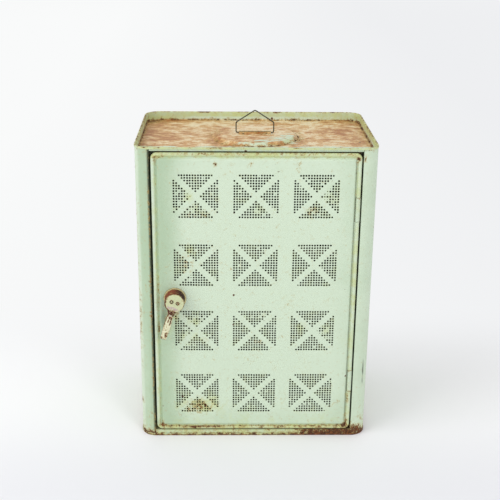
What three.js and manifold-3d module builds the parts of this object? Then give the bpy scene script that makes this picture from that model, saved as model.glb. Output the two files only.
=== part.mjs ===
// A small sheet-metal pie safe. One sheet is wrapped into a case with four round corners, and its
// ends are the stiles beside the doorway. Hemmed pans close it above and below, two rails close the
// doorway's top and bottom, and a pierced door turns on a rod in its own rolled edge. A lever latch
// turns a cam behind the stile. A wire bail stands on the top, and two shelves are inside.
// Sizes are in millimetres. Someone who faces the door has +X to the right, +Y away and +Z up.
// Y = 0 is the front face of the case's wall, until the last lines move the origin under the middle.
import * as THREE from "three";
import { mergeVertices } from "three/addons/utils/BufferGeometryUtils.js";
import Module from "manifold-3d";

const wasm = await Module();
wasm.setup();

// Sheet and fits
const sheet = 0.8; // wall, pans, rails, door and shelves
const fold_gap = 0.1; // between sheets that are folded or laid on each other
const running_gap = 0.3; // round a rod, wire or spindle that turns
const rivet_gap = 0.2; // round a rivet's shank
const overrun = 1; // how far a cutting body goes past what it cuts

// Case, over its hems
const case_width = 360;
const case_depth = 248;
const case_height = 476;
const wall_corner_radius = 22.5;
const top_hem_height = 3; // down the outside of the wall
const foot_hem_height = 4.5; // up the outside of the wall
const tray_depth = 14.3; // from the rim down to the top's sheet
const floor_height = 4; // from the ground up to the sheet of the floor
const back_seam_width = 7;

// Doorway
const top_rail_height = 6.2;
const bottom_rail_top = 10;
const hinge_stile_flat = 1.2; // between the corner's curve and the doorway on the hinge side
const stop_depth = 10; // from the case's face back to the lip that stops the door
const stop_width = 8;
const stop_gap = 0.4;

// Door
const door_gap = 1.6; // all round, to the doorway's edge
const door_corner_radius = 9.5;
const door_proud = 1; // of the panel, in front of the case's face
const valley_depth = 2.4; // between bead and panel, below the panel
const valley_flat = 1.2;
const valley_slope = 3.3; // the run of the slope up to the panel
const inner_corner_radius = 2; // where an inset leaves a corner no larger one

// Pierced squares: each has four triangles of openings, parted by a cross from corner to corner
const square_side = 66;
const square_gap_across = 23.2;
const square_gap_up = 42.4;
const vent_side = 6;
const vent_bar = 3; // metal between two openings
const vent_rows = 3; // in one triangle

// Hinge
const hinge_rod_radius = 2.1;
const hinge_strap_sheet = 1.1;
const hinge_strap_length = 37;
const hinge_from_end = 86.3; // from the door's top or bottom edge to the strap's middle
const strap_loop_share = 0.92; // of a full turn
const strap_tangent = 1.6; // straight stretch behind the loop
const strap_joggle = 1.6; // the run of the step back to the stile
const window_gap = 0.5; // between a strap and the door's rolled edge
const hinge_rivet_spacing = 22;
const hinge_rivet_inset = 2.4; // from the strap's rear edge
const small_rivet = { shank: 1, head: 1.7, tail: 1.7, crown: 0.7 };

// Latch, along Y from the lever's front back to the nut
const latch_from_edge = 32.5; // from the door's free edge to the spindle
const lever_front = 21.5; // in front of the case's face
const lever_sheet = 1.2;
const lever_head_radius = 15;
const lever_head_spread = THREE.MathUtils.degToRad(60); // from the head's side down to its neck
const lever_neck_half = 4.6;
const lever_neck_drop = 21.5;
const lever_arm_half = 5.4;
const lever_arm_drop = 39;
const lever_tip_half = 4.7;
const lever_tip_drop = 62;
const lever_fold = 4.5; // depth of the arm's folded sides
const lever_angle = THREE.MathUtils.degToRad(17); // from straight down, towards the free edge
const drum_front_radius = 14.3;
const drum_back_radius = 16.3;
const drum_front_sheet = 1;
const tongue_half = 4;
const latch_rivet = { shank: 1.2, head: 2.7, tail: 2, crown: 0.9 };
const head_rivet_half = 4.7; // between the two rivets in the lever's head, halved
const head_rivet_rise = 1.4;
const neck_rivet_drop = 17.2;
const rosette_radius = 17.3;
const rosette_sheet = 1.2;
const spindle_radius = 2.5;
const spindle_flange_radius = 9;
const spindle_flange_sheet = 1.5;
const spindle_stub = 1; // past the nut
const backing_radius = 11;
const backing_sheet = 1.2;
const spacer_radius = 5;
const cam_play = 0.8; // between the lip's back and the cam
const cam_sheet = 2;
const cam_half = 5;
const cam_reach = 31; // from the spindle to the cam's tip
const nut_radius = 5.6; // over its corners
const nut_height = 4;

// Boss and bail on the top
const boss_setback = 128; // from the case's face to the boss's middle
const boss_base_radius = 68;
const boss_top_radius = 61;
const boss_height = 5;
const wire_radius = 0.95;
const bail_half = 29.5;
const bail_shoulder = 16; // above the bail's pivot
const bail_height = 35.5; // above the bail's pivot
const bail_bend = 3; // how far from a corner the wire starts to bend
const bail_joint = 0.4; // between the wire's two ends, in the strap
const bail_strap_length = 54;
const bail_strap_foot = 5;
const bail_strap_sheet = 0.8;
const bail_rivet_spacing = 36;

// Shelves, riveted to ledges on the side walls
const shelf_names = ["lower", "upper"]; // from the floor up
const shelf_setback = 26; // from the case's face
const shelf_gap = 0.6; // between a shelf and the walls
const shelf_lip = 9; // depth of the shelf's folded front edge
const ledge_leg = 13;
const ledge_sheet = 1;
const ledge_inset = 12; // from the curved corners to a ledge's ends
const shelf_rivet_inset = 24; // from a ledge's end
const shelf_rivet = { shank: 1.5, head: 2.8, tail: 2.5, crown: 1.2 };

// Facets
const corner_steps = 6;
const door_corner_steps = 4;
const bead_steps = 6;
const loop_steps = 12;
const round_sides = 18;
const nut_sides = 6;
const rivet_sides = 8;
const boss_sides = 36;
const wire_sides = 6;
const wire_steps = 40;
const crown_share = 0.6; // of a rivet head's radius, where its crown is flat
const merge_distance = 1e-4;

// Sizes that follow from the ones above
const hem_stand = sheet + fold_gap;
const wall_half = case_width / 2 - hem_stand;
const wall_depth = case_depth - 2 * hem_stand;
const wall_low = sheet + fold_gap;
const wall_high = case_height - sheet - fold_gap;
const tray_height = case_height - tray_depth;
const hem_inner = hem_stand + sheet + fold_gap; // from a hem's outside to its inner leg
const opening_left = wall_corner_radius - wall_half;
const opening_right = wall_half - wall_corner_radius - hinge_stile_flat;
const opening_top = case_height - top_rail_height;
const door_left = opening_left + door_gap;
const door_right = opening_right - door_gap;
const door_low = bottom_rail_top + door_gap;
const door_high = opening_top - door_gap;
const door_middle = (door_low + door_high) / 2;
const rod_bore = hinge_rod_radius + running_gap;
const roll_radius = rod_bore + sheet; // of the door's rolled edge, and of the bead on its other edges
const knuckle_radius = rod_bore + hinge_strap_sheet;
const hinge_x = door_right - roll_radius;
const hinge_y = roll_radius - door_proud;
const lip_back = stop_depth + sheet;
const tray_front = lip_back + fold_gap; // the tray's front edge keeps behind the door's stop
const notch = [opening_left - sheet - fold_gap, opening_right + sheet + fold_gap];
const latch_x = door_left + latch_from_edge;
const bail_pivot = tray_height + boss_height + bail_strap_sheet + wire_radius;
const wall_inner = wall_half - sheet;
const interior_low = floor_height + sheet;
const interior_high = tray_height - sheet;

// The case's outline over its hems, and the door's, both seen square on.
const case_outline = {
  left: -case_width / 2,
  right: case_width / 2,
  low: -hem_stand,
  high: case_depth - hem_stand,
  radius: wall_corner_radius + hem_stand,
  steps: corner_steps,
};
const door_outline = {
  left: door_left,
  right: door_right,
  low: door_low,
  high: door_high,
  radius: door_corner_radius,
  steps: door_corner_steps,
};

// Finishes
const green_paint = { color: 0xc3d5bb, roughness: 0.5, metalness: 0.1 };
const worn_top = { color: 0xc4a078, roughness: 0.8, metalness: 0.1 };
const rusty_green = { color: 0xa9ab84, roughness: 0.7, metalness: 0.1 };
const rusty_steel = { color: 0x7a4a2e, roughness: 0.85, metalness: 0.3 };
const dark_wire = { color: 0x4c5147, roughness: 0.5, metalness: 0.7 };
const plain_steel = { color: 0x8d8a82, roughness: 0.5, metalness: 0.8 };

// A closed solid from a three.js geometry, once vertices at one place are one vertex.
function solid(geometry) {
  const bare = geometry.clone();
  bare.deleteAttribute("normal");
  bare.deleteAttribute("uv");
  const merged = mergeVertices(bare, merge_distance);
  return new wasm.Manifold(
    new wasm.Mesh({
      numProp: 3,
      vertProperties: new Float32Array(merged.attributes.position.array),
      triVerts: new Uint32Array(merged.index.array),
    }),
  );
}

// The solid as a named mesh with its own material, in its parent group.
function piece(parent, name, body, finish) {
  const { vertProperties, triVerts } = body.getMesh();
  const geometry = new THREE.BufferGeometry();
  geometry.setAttribute("position", new THREE.BufferAttribute(vertProperties, 3));
  geometry.setIndex(new THREE.BufferAttribute(triVerts, 1));
  geometry.computeVertexNormals();
  const mesh = new THREE.Mesh(geometry, new THREE.MeshStandardMaterial(finish));
  mesh.name = name;
  parent.add(mesh);
  return mesh;
}

// A block between a low and a high place on each axis.
function block([x0, x1], [y0, y1], [z0, z1]) {
  const geometry = new THREE.BoxGeometry(x1 - x0, y1 - y0, z1 - z0);
  geometry.translate((x0 + x1) / 2, (y0 + y1) / 2, (z0 + z1) / 2);
  return solid(geometry);
}

// Turns what stands along Y to stand along the named axis.
function standAlong(geometry, axis) {
  if (axis === "x") geometry.rotateZ(-Math.PI / 2);
  if (axis === "z") geometry.rotateX(Math.PI / 2);
}

// A profile of [radius, place along the axis] points, turned about an axis through a point.
function turned(profile, axis, at, sides) {
  const points = profile.map(([radius, along]) => new THREE.Vector2(radius, along));
  const geometry = new THREE.LatheGeometry(points, sides);
  standAlong(geometry, axis);
  const centre = at.clone();
  centre[axis] = 0;
  geometry.translate(centre.x, centre.y, centre.z);
  return solid(geometry);
}

// A round bar between two places along an axis, and a tube.
function bar(axis, at, radius, [from, to], sides = round_sides) {
  const profile = [
    [0, from],
    [radius, from],
    [radius, to],
    [0, to],
  ];
  return turned(profile, axis, at, sides);
}

function tube(axis, at, inner, outer, [from, to], sides = round_sides) {
  const bore = bar(axis, at, inner, [from - overrun, to + overrun]);
  return bar(axis, at, outer, [from, to], sides).subtract(bore);
}

// A rivet whose two heads sit on the outer faces of what it holds, and the hole for it. The wider
// head is at the low end of its axis, unless it is said to be at the high end.
function rivet(size, axis, at, [from, to], wide_end = "low") {
  const low = from - fold_gap;
  const high = to + fold_gap;
  const [low_head, high_head] =
    wide_end === "low" ? [size.head, size.tail] : [size.tail, size.head];
  const profile = [
    [0, low - size.crown],
    [low_head * crown_share, low - size.crown],
    [low_head, low],
    [size.shank, low],
    [size.shank, high],
    [high_head, high],
    [high_head * crown_share, high + size.crown],
    [0, high + size.crown],
  ];
  return turned(profile, axis, at, rivet_sides);
}

function rivetHole(size, axis, at, [from, to]) {
  const reach = [from - overrun, to + overrun];
  return bar(axis, at, size.shank + rivet_gap, reach, rivet_sides);
}

// Points on an arc about a centre, both ends included.
function arc(cx, cy, radius, from, to, steps) {
  return Array.from({ length: steps + 1 }, (_, i) => {
    const angle = from + ((to - from) * i) / steps;
    return [cx + radius * Math.cos(angle), cy + radius * Math.sin(angle)];
  });
}

// The outline of bent sheet: a path along one face, and the other face one thickness to its right.
function bentSheet(path, thickness) {
  const points = path.map(([x, y]) => new THREE.Vector2(x, y));
  const normals = points.slice(1).map((p, i) => {
    const along = p.clone().sub(points[i]).normalize();
    return new THREE.Vector2(along.y, -along.x);
  });
  const inner = points.map((p, i) => {
    const before = normals[Math.max(i - 1, 0)];
    const after = normals[Math.min(i, normals.length - 1)];
    const mitre = before.clone().add(after);
    return p.clone().addScaledVector(mitre, thickness / (1 + before.dot(after)));
  });
  return [...points, ...inner.reverse()].map((p) => [p.x, p.y]);
}

// A flat outline made thick between two places along an axis. Along X its points are [y, z], along
// Y they are [x, z] and along Z they are [x, y].
function prism(outline, axis, [from, to]) {
  const shape = outline instanceof THREE.Shape
    ? outline
    : new THREE.Shape(outline.map(([x, y]) => new THREE.Vector2(x, y)));
  const geometry = new THREE.ExtrudeGeometry(shape, { depth: to - from, bevelEnabled: false });
  const [x, y, z] = [0, 1, 2].map((i) => new THREE.Vector3().setComponent(i, 1));
  geometry.translate(0, 0, axis === "y" ? -to : from);
  if (axis === "x") geometry.applyMatrix4(new THREE.Matrix4().makeBasis(y, z, x));
  if (axis === "y") geometry.applyMatrix4(new THREE.Matrix4().makeBasis(x, z, y.negate()));
  return solid(geometry);
}

// A rounded rectangle drawn in from its outline by an inset, anticlockwise.
function roundedOutline({ left, right, low, high, radius, steps }, inset = 0) {
  const r = Math.max(radius - inset, inner_corner_radius);
  const [x0, x1] = [left + inset + r, right - inset - r];
  const [y0, y1] = [low + inset + r, high - inset - r];
  return [
    ...arc(x1, y0, r, -Math.PI / 2, 0, steps),
    ...arc(x1, y1, r, 0, Math.PI / 2, steps),
    ...arc(x0, y1, r, Math.PI / 2, Math.PI, steps),
    ...arc(x0, y0, r, Math.PI, (3 * Math.PI) / 2, steps),
  ];
}

// A closed section of [inset, height] points carried round a rounded rectangle.
function rim(section, outline) {
  const rings = section.map(([inset]) => roundedOutline(outline, inset));
  const count = rings[0].length;
  const area = section.reduce((sum, [x, y], i) => {
    const [nx, ny] = section[(i + 1) % section.length];
    return sum + x * ny - nx * y;
  }, 0);
  const places = rings.flatMap((ring, i) => ring.flatMap(([x, y]) => [x, y, section[i][1]]));
  const faces = [];
  for (let i = 0; i < section.length; i += 1) {
    for (let j = 0; j < count; j += 1) {
      const a = i * count + j;
      const b = i * count + ((j + 1) % count);
      const c = ((i + 1) % section.length) * count + ((j + 1) % count);
      const d = ((i + 1) % section.length) * count + j;
      const quad = [a, b, c, a, c, d];
      faces.push(...(area < 0 ? quad : quad.reverse()));
    }
  }
  const geometry = new THREE.BufferGeometry();
  geometry.setAttribute("position", new THREE.Float32BufferAttribute(places, 3));
  geometry.setIndex(faces);
  return geometry;
}

// A pan whose edge runs to the rim and folds over the wall's edge. Its sheet lies on the side of
// the plate's height that is away from the rim.
function hemmedPan(rim_height, plate_height, hem_height) {
  const inward = Math.sign(plate_height - rim_height);
  const plate = [plate_height, plate_height + inward * sheet].sort((a, b) => a - b);
  const section = [
    [0, rim_height + inward * hem_height],
    [0, rim_height],
    [hem_inner + sheet, rim_height],
    [hem_inner + sheet, plate_height + inward * sheet],
    [hem_inner, plate_height + inward * sheet],
    [hem_inner, rim_height + inward * sheet],
    [sheet, rim_height + inward * sheet],
    [sheet, rim_height + inward * hem_height],
  ];
  const edge = solid(rim(section, case_outline));
  const sheetOutline = roundedOutline(case_outline, hem_inner + sheet / 2);
  return edge.add(prism(sheetOutline, "z", plate));
}

// The top: a tray with a round boss pressed up in it, pierced for the bail strap's rivets. Between
// the stiles it keeps behind the door's stop, and only its hem goes on to the front.
function topPan() {
  const boss = new THREE.Vector3(0, boss_setback, 0);
  const top = tray_height + boss_height;
  const land = boss_base_radius + sheet;
  const profile = [
    [0, top - sheet],
    [boss_top_radius - sheet, top - sheet],
    [boss_base_radius - sheet, tray_height - sheet],
    [land + overrun, tray_height - sheet],
    [land + overrun, tray_height],
    [boss_base_radius, tray_height],
    [boss_top_radius, top],
    [0, top],
  ];
  const well_depth = [tray_height - sheet - overrun, tray_height + overrun];
  const well = bar("z", boss, land, well_depth, boss_sides);
  const under = tray_height - sheet;
  const doorway = block(notch, [0, tray_front], [under - overrun, opening_top + sheet + fold_gap]);
  const flange = [tray_front, tray_front + sheet];
  let pan = hemmedPan(case_height, tray_height, top_hem_height)
    .subtract(doorway)
    .add(block(notch, flange, [under, opening_top - fold_gap]))
    .subtract(well)
    .add(turned(profile, "z", boss, boss_sides));
  for (const at of bailRivetPlaces()) {
    pan = pan.subtract(rivetHole(small_rivet, "z", at, [top - sheet, top]));
  }
  return pan;
}

// The wall: both stiles with the doorway's returns and lips, both sides and the back, with the
// seam where the sheet's two ends are locked together. The returns are notched for the pans.
function wallWrap() {
  const r = wall_corner_radius;
  const [left, right] = [r - wall_half, wall_half - r];
  const [front, rear] = [r, wall_depth - r];
  const path = [
    [opening_left + stop_width, stop_depth],
    [opening_left, stop_depth],
    ...arc(left, front, r, -Math.PI / 2, -Math.PI, corner_steps),
    ...arc(left, rear, r, Math.PI, Math.PI / 2, corner_steps),
    ...arc(right, rear, r, Math.PI / 2, 0, corner_steps),
    ...arc(right, front, r, 0, -Math.PI / 2, corner_steps),
    [opening_right, 0],
    [opening_right, stop_depth],
    [opening_right - stop_width, stop_depth],
  ];
  const seam = block(
    [-back_seam_width / 2, back_seam_width / 2],
    [wall_depth - sheet / 2, wall_depth + sheet],
    [foot_hem_height + overrun, case_height - top_hem_height - overrun],
  );
  const behind_face = [sheet + fold_gap / 2, lip_back + overrun];
  let wall = prism(bentSheet(path, sheet), "z", [wall_low, wall_high])
    .subtract(block(notch, behind_face, [opening_top - fold_gap, case_height]))
    .subtract(block(notch, behind_face, [0, interior_low + fold_gap]))
    .add(seam);
  for (const height of strapHeights()) {
    for (const at of hingeRivetPlaces(height)) {
      wall = wall.subtract(rivetHole(small_rivet, "x", at, [opening_right, opening_right + sheet]));
    }
  }
  return wall;
}

// The rails that close the doorway between the stiles. Each has a web in the wall's plane, sheet
// that runs back from it, and a lip that stops the door between the stiles' own lips.
function railReach() {
  return {
    across: [opening_left + fold_gap, opening_right - fold_gap],
    between: [opening_left + stop_width + fold_gap, opening_right - stop_width - fold_gap],
  };
}

function topRail() {
  const { across, between } = railReach();
  const above = [opening_top, opening_top + sheet];
  return block(across, [0, sheet], [opening_top, wall_high])
    .add(block(across, [0, tray_front + sheet], above))
    .add(block(between, [stop_depth, lip_back], [opening_top - stop_width, opening_top + sheet]));
}

function bottomRail() {
  const { across, between } = railReach();
  const top = bottom_rail_top;
  const below = [top - sheet, top];
  return block(across, [0, sheet], [wall_low, top])
    .add(block(across, [0, stop_depth - fold_gap], below))
    .add(block(between, [0, lip_back], below))
    .add(block(between, [stop_depth, lip_back], [top - sheet, top + stop_width]));
}

// The section of the door's edge, as [inset, how far in front of the case's face]: a flange, a
// round bead, a valley and the slope up to the panel.
function doorEdgeSection() {
  const valley = door_proud - valley_depth;
  const valley_angle = Math.asin((valley + hinge_y) / roll_radius);
  const bead = arc(roll_radius, -hinge_y, roll_radius, Math.PI, valley_angle, bead_steps);
  const valley_start = bead[bead_steps][0];
  const slope_start = valley_start + valley_flat;
  const path = [
    [0, stop_gap - stop_depth],
    ...bead,
    [slope_start, valley],
    [slope_start + valley_slope, door_proud],
    [slope_start + valley_slope + overrun, door_proud],
  ];
  return { outline: bentSheet(path, sheet), panel_inset: slope_start + valley_slope };
}

// The openings of all pierced squares as one cutting body. Each row inwards holds two fewer.
function ventCutters(panel_inset) {
  const width = door_right - door_left - 2 * panel_inset;
  const height = door_high - door_low - 2 * panel_inset;
  const across = square_side + square_gap_across;
  const up = square_side + square_gap_up;
  const columns = Math.floor((width + square_gap_across) / across);
  const rows = Math.floor((height + square_gap_up) / up);
  const middle_x = (door_left + door_right) / 2;
  const pitch = vent_side + vent_bar;
  const cutters = [];
  for (let column = 0; column < columns; column += 1) {
    for (let row = 0; row < rows; row += 1) {
      const x = middle_x + (column - (columns - 1) / 2) * across;
      const z = door_middle + (row - (rows - 1) / 2) * up;
      for (let ring = 0; ring < vent_rows; ring += 1) {
        const out = square_side / 2 - vent_side / 2 - ring * pitch;
        const reach = vent_rows - 1 - ring;
        for (let step = -reach; step <= reach; step += 1) {
          const along = step * pitch;
          cutters.push([x + along, z + out], [x + along, z - out]);
          cutters.push([x + out, z + along], [x - out, z + along]);
        }
      }
    }
  }
  const depth = [-door_proud - overrun, sheet - door_proud + overrun];
  return cutters
    .map(([x, z]) =>
      block([x - vent_side / 2, x + vent_side / 2], depth, [z - vent_side / 2, z + vent_side / 2]),
    )
    .reduce((all, one) => all.add(one));
}

// The door: one pressed sheet, rolled into the hinge's tube on its right edge.
function doorSkin() {
  const { outline, panel_inset } = doorEdgeSection();
  const edge = rim(outline, door_outline);
  edge.rotateX(Math.PI / 2);
  const panel = prism(
    roundedOutline(door_outline, panel_inset + overrun / 2),
    "y",
    [-door_proud, sheet - door_proud],
  );
  const corner = door_corner_radius;
  const straight = [door_low + corner, door_high - corner];
  const roll = new THREE.Vector3(hinge_x, hinge_y, 0);
  const rolled_away = block(
    [hinge_x - roll_radius + sheet / 2, door_right + overrun],
    [-door_proud - overrun, stop_depth],
    straight,
  );
  const flange_notch = block(
    [hinge_x - knuckle_radius, door_right + overrun],
    [hinge_y + sheet, stop_depth],
    [door_low - overrun, door_high + overrun],
  );
  let skin = solid(edge).add(panel).subtract(rolled_away).subtract(flange_notch);
  skin = skin.add(tube("z", roll, rod_bore, roll_radius, straight));
  for (const height of strapHeights()) {
    const half = hinge_strap_length / 2 + window_gap;
    const window = block(
      [hinge_x - knuckle_radius - window_gap, door_right + overrun],
      [-door_proud - overrun, stop_depth],
      [height - half, height + half],
    );
    skin = skin.subtract(window);
  }
  const spindle = new THREE.Vector3(latch_x, 0, door_middle);
  const hole = bar("y", spindle, spindle_radius + running_gap, [-door_proud - overrun, overrun]);
  return skin.subtract(hole).subtract(ventCutters(panel_inset));
}

// The middle heights of the two hinge straps, upper one first, and a strap's rivets.
function strapHeights() {
  return [door_high - hinge_from_end, door_low + hinge_from_end];
}

function hingeRivetPlaces(height) {
  const y = stop_depth - fold_gap - hinge_rivet_inset;
  return [1, -1].map((side) => new THREE.Vector3(0, y, height + (side * hinge_rivet_spacing) / 2));
}

// A hinge strap: sheet looped round the rod, stepped back against the stile's return.
function hingeStrap(height) {
  const leaf_x = opening_right - fold_gap;
  const loop_x = hinge_x + knuckle_radius;
  const turn = -2 * Math.PI * strap_loop_share;
  const path = [
    [leaf_x, stop_depth - fold_gap],
    [leaf_x, hinge_y + strap_tangent + strap_joggle],
    [loop_x, hinge_y + strap_tangent],
    ...arc(hinge_x, hinge_y, knuckle_radius, 0, turn, loop_steps),
  ];
  const half = hinge_strap_length / 2;
  let strap = prism(bentSheet(path, hinge_strap_sheet), "z", [height - half, height + half]);
  for (const at of hingeRivetPlaces(height)) {
    strap = strap.subtract(rivetHole(small_rivet, "x", at, [leaf_x - hinge_strap_sheet, leaf_x]));
  }
  return strap;
}

// Latch pieces are drawn about the spindle's axis, with the lever straight down.
function leverOutline() {
  const shape = new THREE.Shape();
  const spread = lever_head_spread;
  shape.moveTo(lever_head_radius * Math.cos(spread), -lever_head_radius * Math.sin(spread));
  shape.absarc(0, 0, lever_head_radius, -spread, Math.PI + spread, false);
  shape.lineTo(-lever_neck_half, -lever_neck_drop);
  shape.lineTo(-lever_arm_half, -lever_arm_drop);
  shape.lineTo(-lever_tip_half, -lever_tip_drop);
  shape.lineTo(lever_tip_half, -lever_tip_drop);
  shape.lineTo(lever_arm_half, -lever_arm_drop);
  shape.lineTo(lever_neck_half, -lever_neck_drop);
  return shape;
}

function latchRivetPlaces() {
  return {
    left: new THREE.Vector3(-head_rivet_half, 0, head_rivet_rise),
    right: new THREE.Vector3(head_rivet_half, 0, head_rivet_rise),
    neck: new THREE.Vector3(0, 0, -neck_rivet_drop),
  };
}

function pierceForLatchRivets(body, places, reach) {
  return places.reduce((all, at) => all.subtract(rivetHole(latch_rivet, "y", at, reach)), body);
}

// The lever: a round head and an arm whose sides are folded back.
function latchLever(front) {
  const back = front + lever_sheet;
  const side = (sign) => {
    const wall = [
      [sign * lever_neck_half, -lever_neck_drop],
      [sign * lever_arm_half, -lever_arm_drop],
      [sign * lever_tip_half, -lever_tip_drop],
      [sign * (lever_tip_half - lever_sheet), -lever_tip_drop],
      [sign * (lever_arm_half - lever_sheet), -lever_arm_drop],
      [sign * (lever_neck_half - lever_sheet), -lever_neck_drop],
    ];
    return prism(wall, "y", [back - lever_sheet / 2, front + lever_fold]);
  };
  const plate = prism(leverOutline(), "y", [front, back]).add(side(1)).add(side(-1));
  return pierceForLatchRivets(plate, Object.values(latchRivetPlaces()), [front, back]);
}

// The drum behind the lever's head: an open-backed cup with a tongue behind the lever's neck.
function latchDrum(front, back) {
  const centre = new THREE.Vector3();
  const inner = front + drum_front_sheet;
  const profile = [
    [0, front],
    [drum_front_radius, front],
    [drum_back_radius, back],
    [drum_back_radius - sheet, back],
    [drum_front_radius - sheet, inner],
    [0, inner],
  ];
  const tongue = block(
    [-tongue_half, tongue_half],
    [front, inner],
    [-lever_neck_drop, -spindle_radius - overrun],
  );
  const drum = turned(profile, "y", centre, round_sides).add(tongue);
  return pierceForLatchRivets(drum, Object.values(latchRivetPlaces()), [front, inner]);
}

// The spindle: a flange behind the drum's face and a shaft through the door to the nut.
function latchSpindle(front, end) {
  const back = front + spindle_flange_sheet;
  const profile = [
    [0, front],
    [spindle_flange_radius, front],
    [spindle_flange_radius, back],
    [spindle_radius, back],
    [spindle_radius, end],
    [0, end],
  ];
  const { left, right } = latchRivetPlaces();
  const spindle = turned(profile, "y", new THREE.Vector3(), round_sides);
  return pierceForLatchRivets(spindle, [left, right], [front, back]);
}

// The cam: a flat bar with a round end about the spindle.
function latchCam(front) {
  const shape = new THREE.Shape();
  shape.moveTo(cam_half, 0);
  shape.absarc(0, 0, cam_half, 0, Math.PI, false);
  shape.lineTo(-cam_half, -cam_reach);
  shape.lineTo(cam_half, -cam_reach);
  const depth = [front, front + cam_sheet];
  const hole = bar("y", new THREE.Vector3(), spindle_radius + running_gap, [
    front - overrun,
    front + cam_sheet + overrun,
  ]);
  return prism(shape, "y", depth).subtract(hole);
}

// All pieces that turn with the lever, in a group at the spindle, turned to the lever's angle.
function addLatch(door) {
  const turning = new THREE.Group();
  turning.position.set(latch_x, 0, door_middle);
  turning.rotation.y = lever_angle;
  door.add(turning);
  const centre = new THREE.Vector3();
  const lever_y = -lever_front;
  const drum_y = lever_y + lever_sheet + fold_gap;
  const rosette_y = -door_proud - fold_gap - rosette_sheet;
  const flange_y = drum_y + drum_front_sheet + fold_gap;
  const backing_y = sheet - door_proud + fold_gap;
  const cam_y = lip_back + cam_play;
  const nut_y = cam_y + cam_sheet + fold_gap;
  const bore = spindle_radius + running_gap;
  const places = latchRivetPlaces();
  const flange_back = flange_y + spindle_flange_sheet;
  const tongue_back = drum_y + drum_front_sheet;
  piece(turning, "latch_lever", latchLever(lever_y), rusty_green);
  piece(turning, "latch_drum", latchDrum(drum_y, rosette_y - running_gap), rusty_steel);
  piece(
    turning,
    "left_head_rivet",
    rivet(latch_rivet, "y", places.left, [lever_y, flange_back]),
    rusty_green,
  );
  piece(
    turning,
    "right_head_rivet",
    rivet(latch_rivet, "y", places.right, [lever_y, flange_back]),
    rusty_green,
  );
  piece(
    turning,
    "neck_rivet",
    rivet(latch_rivet, "y", places.neck, [lever_y, tongue_back]),
    rusty_steel,
  );
  const nut_end = nut_y + nut_height;
  piece(turning, "latch_spindle", latchSpindle(flange_y, nut_end + spindle_stub), plain_steel);
  const spacer_y = [backing_y + backing_sheet + running_gap, cam_y - fold_gap];
  piece(turning, "latch_spacer", tube("y", centre, bore, spacer_radius, spacer_y), plain_steel);
  piece(turning, "latch_cam", latchCam(cam_y), plain_steel);
  const nut = tube("y", centre, bore, nut_radius, [nut_y, nut_end], nut_sides);
  piece(turning, "cam_nut", nut, plain_steel);
  const spindle = new THREE.Vector3(latch_x, 0, door_middle);
  const rosette = tube("y", spindle, bore, rosette_radius, [rosette_y, rosette_y + rosette_sheet]);
  piece(door, "latch_rosette", rosette, rusty_green);
  const backing = tube("y", spindle, bore, backing_radius, [backing_y, backing_y + backing_sheet]);
  piece(door, "latch_backing_washer", backing, plain_steel);
}

// The places of the two rivets through the bail strap's front foot.
function bailRivetPlaces() {
  const loop = wire_radius + running_gap + bail_strap_sheet;
  const y = boss_setback - loop - bail_strap_foot / 2;
  return [-1, 1].map((side) => new THREE.Vector3((side * bail_rivet_spacing) / 2, y, 0));
}

// The strap that holds the bail: a foot, an arch over the wire, and a second foot.
function bailStrap() {
  const low = tray_height + boss_height + fold_gap;
  const top = low + bail_strap_sheet;
  const radius = wire_radius + running_gap + bail_strap_sheet;
  const spring = Math.asin((top - bail_pivot) / radius);
  const path = [
    [boss_setback - radius - bail_strap_foot, top],
    ...arc(boss_setback, bail_pivot, radius, Math.PI - spring, spring, bead_steps),
    [boss_setback + radius + bail_strap_foot, top],
  ];
  const half = bail_strap_length / 2;
  let strap = prism(bentSheet(path, bail_strap_sheet), "x", [-half, half]);
  for (const at of bailRivetPlaces()) {
    strap = strap.subtract(rivetHole(small_rivet, "z", at, [low, top]));
  }
  return strap;
}

// The bail: one wire bent to a five-sided loop, whose ends meet in the strap.
function bailWire() {
  const start = bail_joint / 2;
  const corners = [
    [start, 0],
    [bail_half, 0],
    [bail_half, bail_shoulder],
    [0, bail_height],
    [-bail_half, bail_shoulder],
    [-bail_half, 0],
    [-start, 0],
  ].map(([x, z]) => new THREE.Vector3(x, boss_setback, bail_pivot + z));
  const path = new THREE.CurvePath();
  let from = corners[0];
  for (let i = 1; i < corners.length - 1; i += 1) {
    const [before, corner, after] = [corners[i - 1], corners[i], corners[i + 1]];
    const into = corner.clone().add(before.clone().sub(corner).setLength(bail_bend));
    const out = corner.clone().add(after.clone().sub(corner).setLength(bail_bend));
    path.add(new THREE.LineCurve3(from, into));
    path.add(new THREE.QuadraticBezierCurve3(into, corner, out));
    from = out;
  }
  path.add(new THREE.LineCurve3(from, corners[corners.length - 1]));
  const section = new THREE.Shape(
    arc(0, 0, wire_radius, 0, 2 * Math.PI, wire_sides)
      .slice(0, wire_sides)
      .map(([x, y]) => new THREE.Vector2(x, y)),
  );
  return solid(new THREE.ExtrudeGeometry(section, { steps: wire_steps, extrudePath: path }));
}

// A ledge on one side wall, and the places of the rivets through it.
function ledgeReach() {
  const inset = wall_corner_radius + ledge_inset;
  return [inset, wall_depth - inset];
}

function shelfRivetPlaces(side) {
  const [front, rear] = ledgeReach();
  const x = side * (wall_inner - fold_gap - ledge_leg / 2);
  return [front + shelf_rivet_inset, rear - shelf_rivet_inset].map((y) => new THREE.Vector3(x, y, 0));
}

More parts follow.
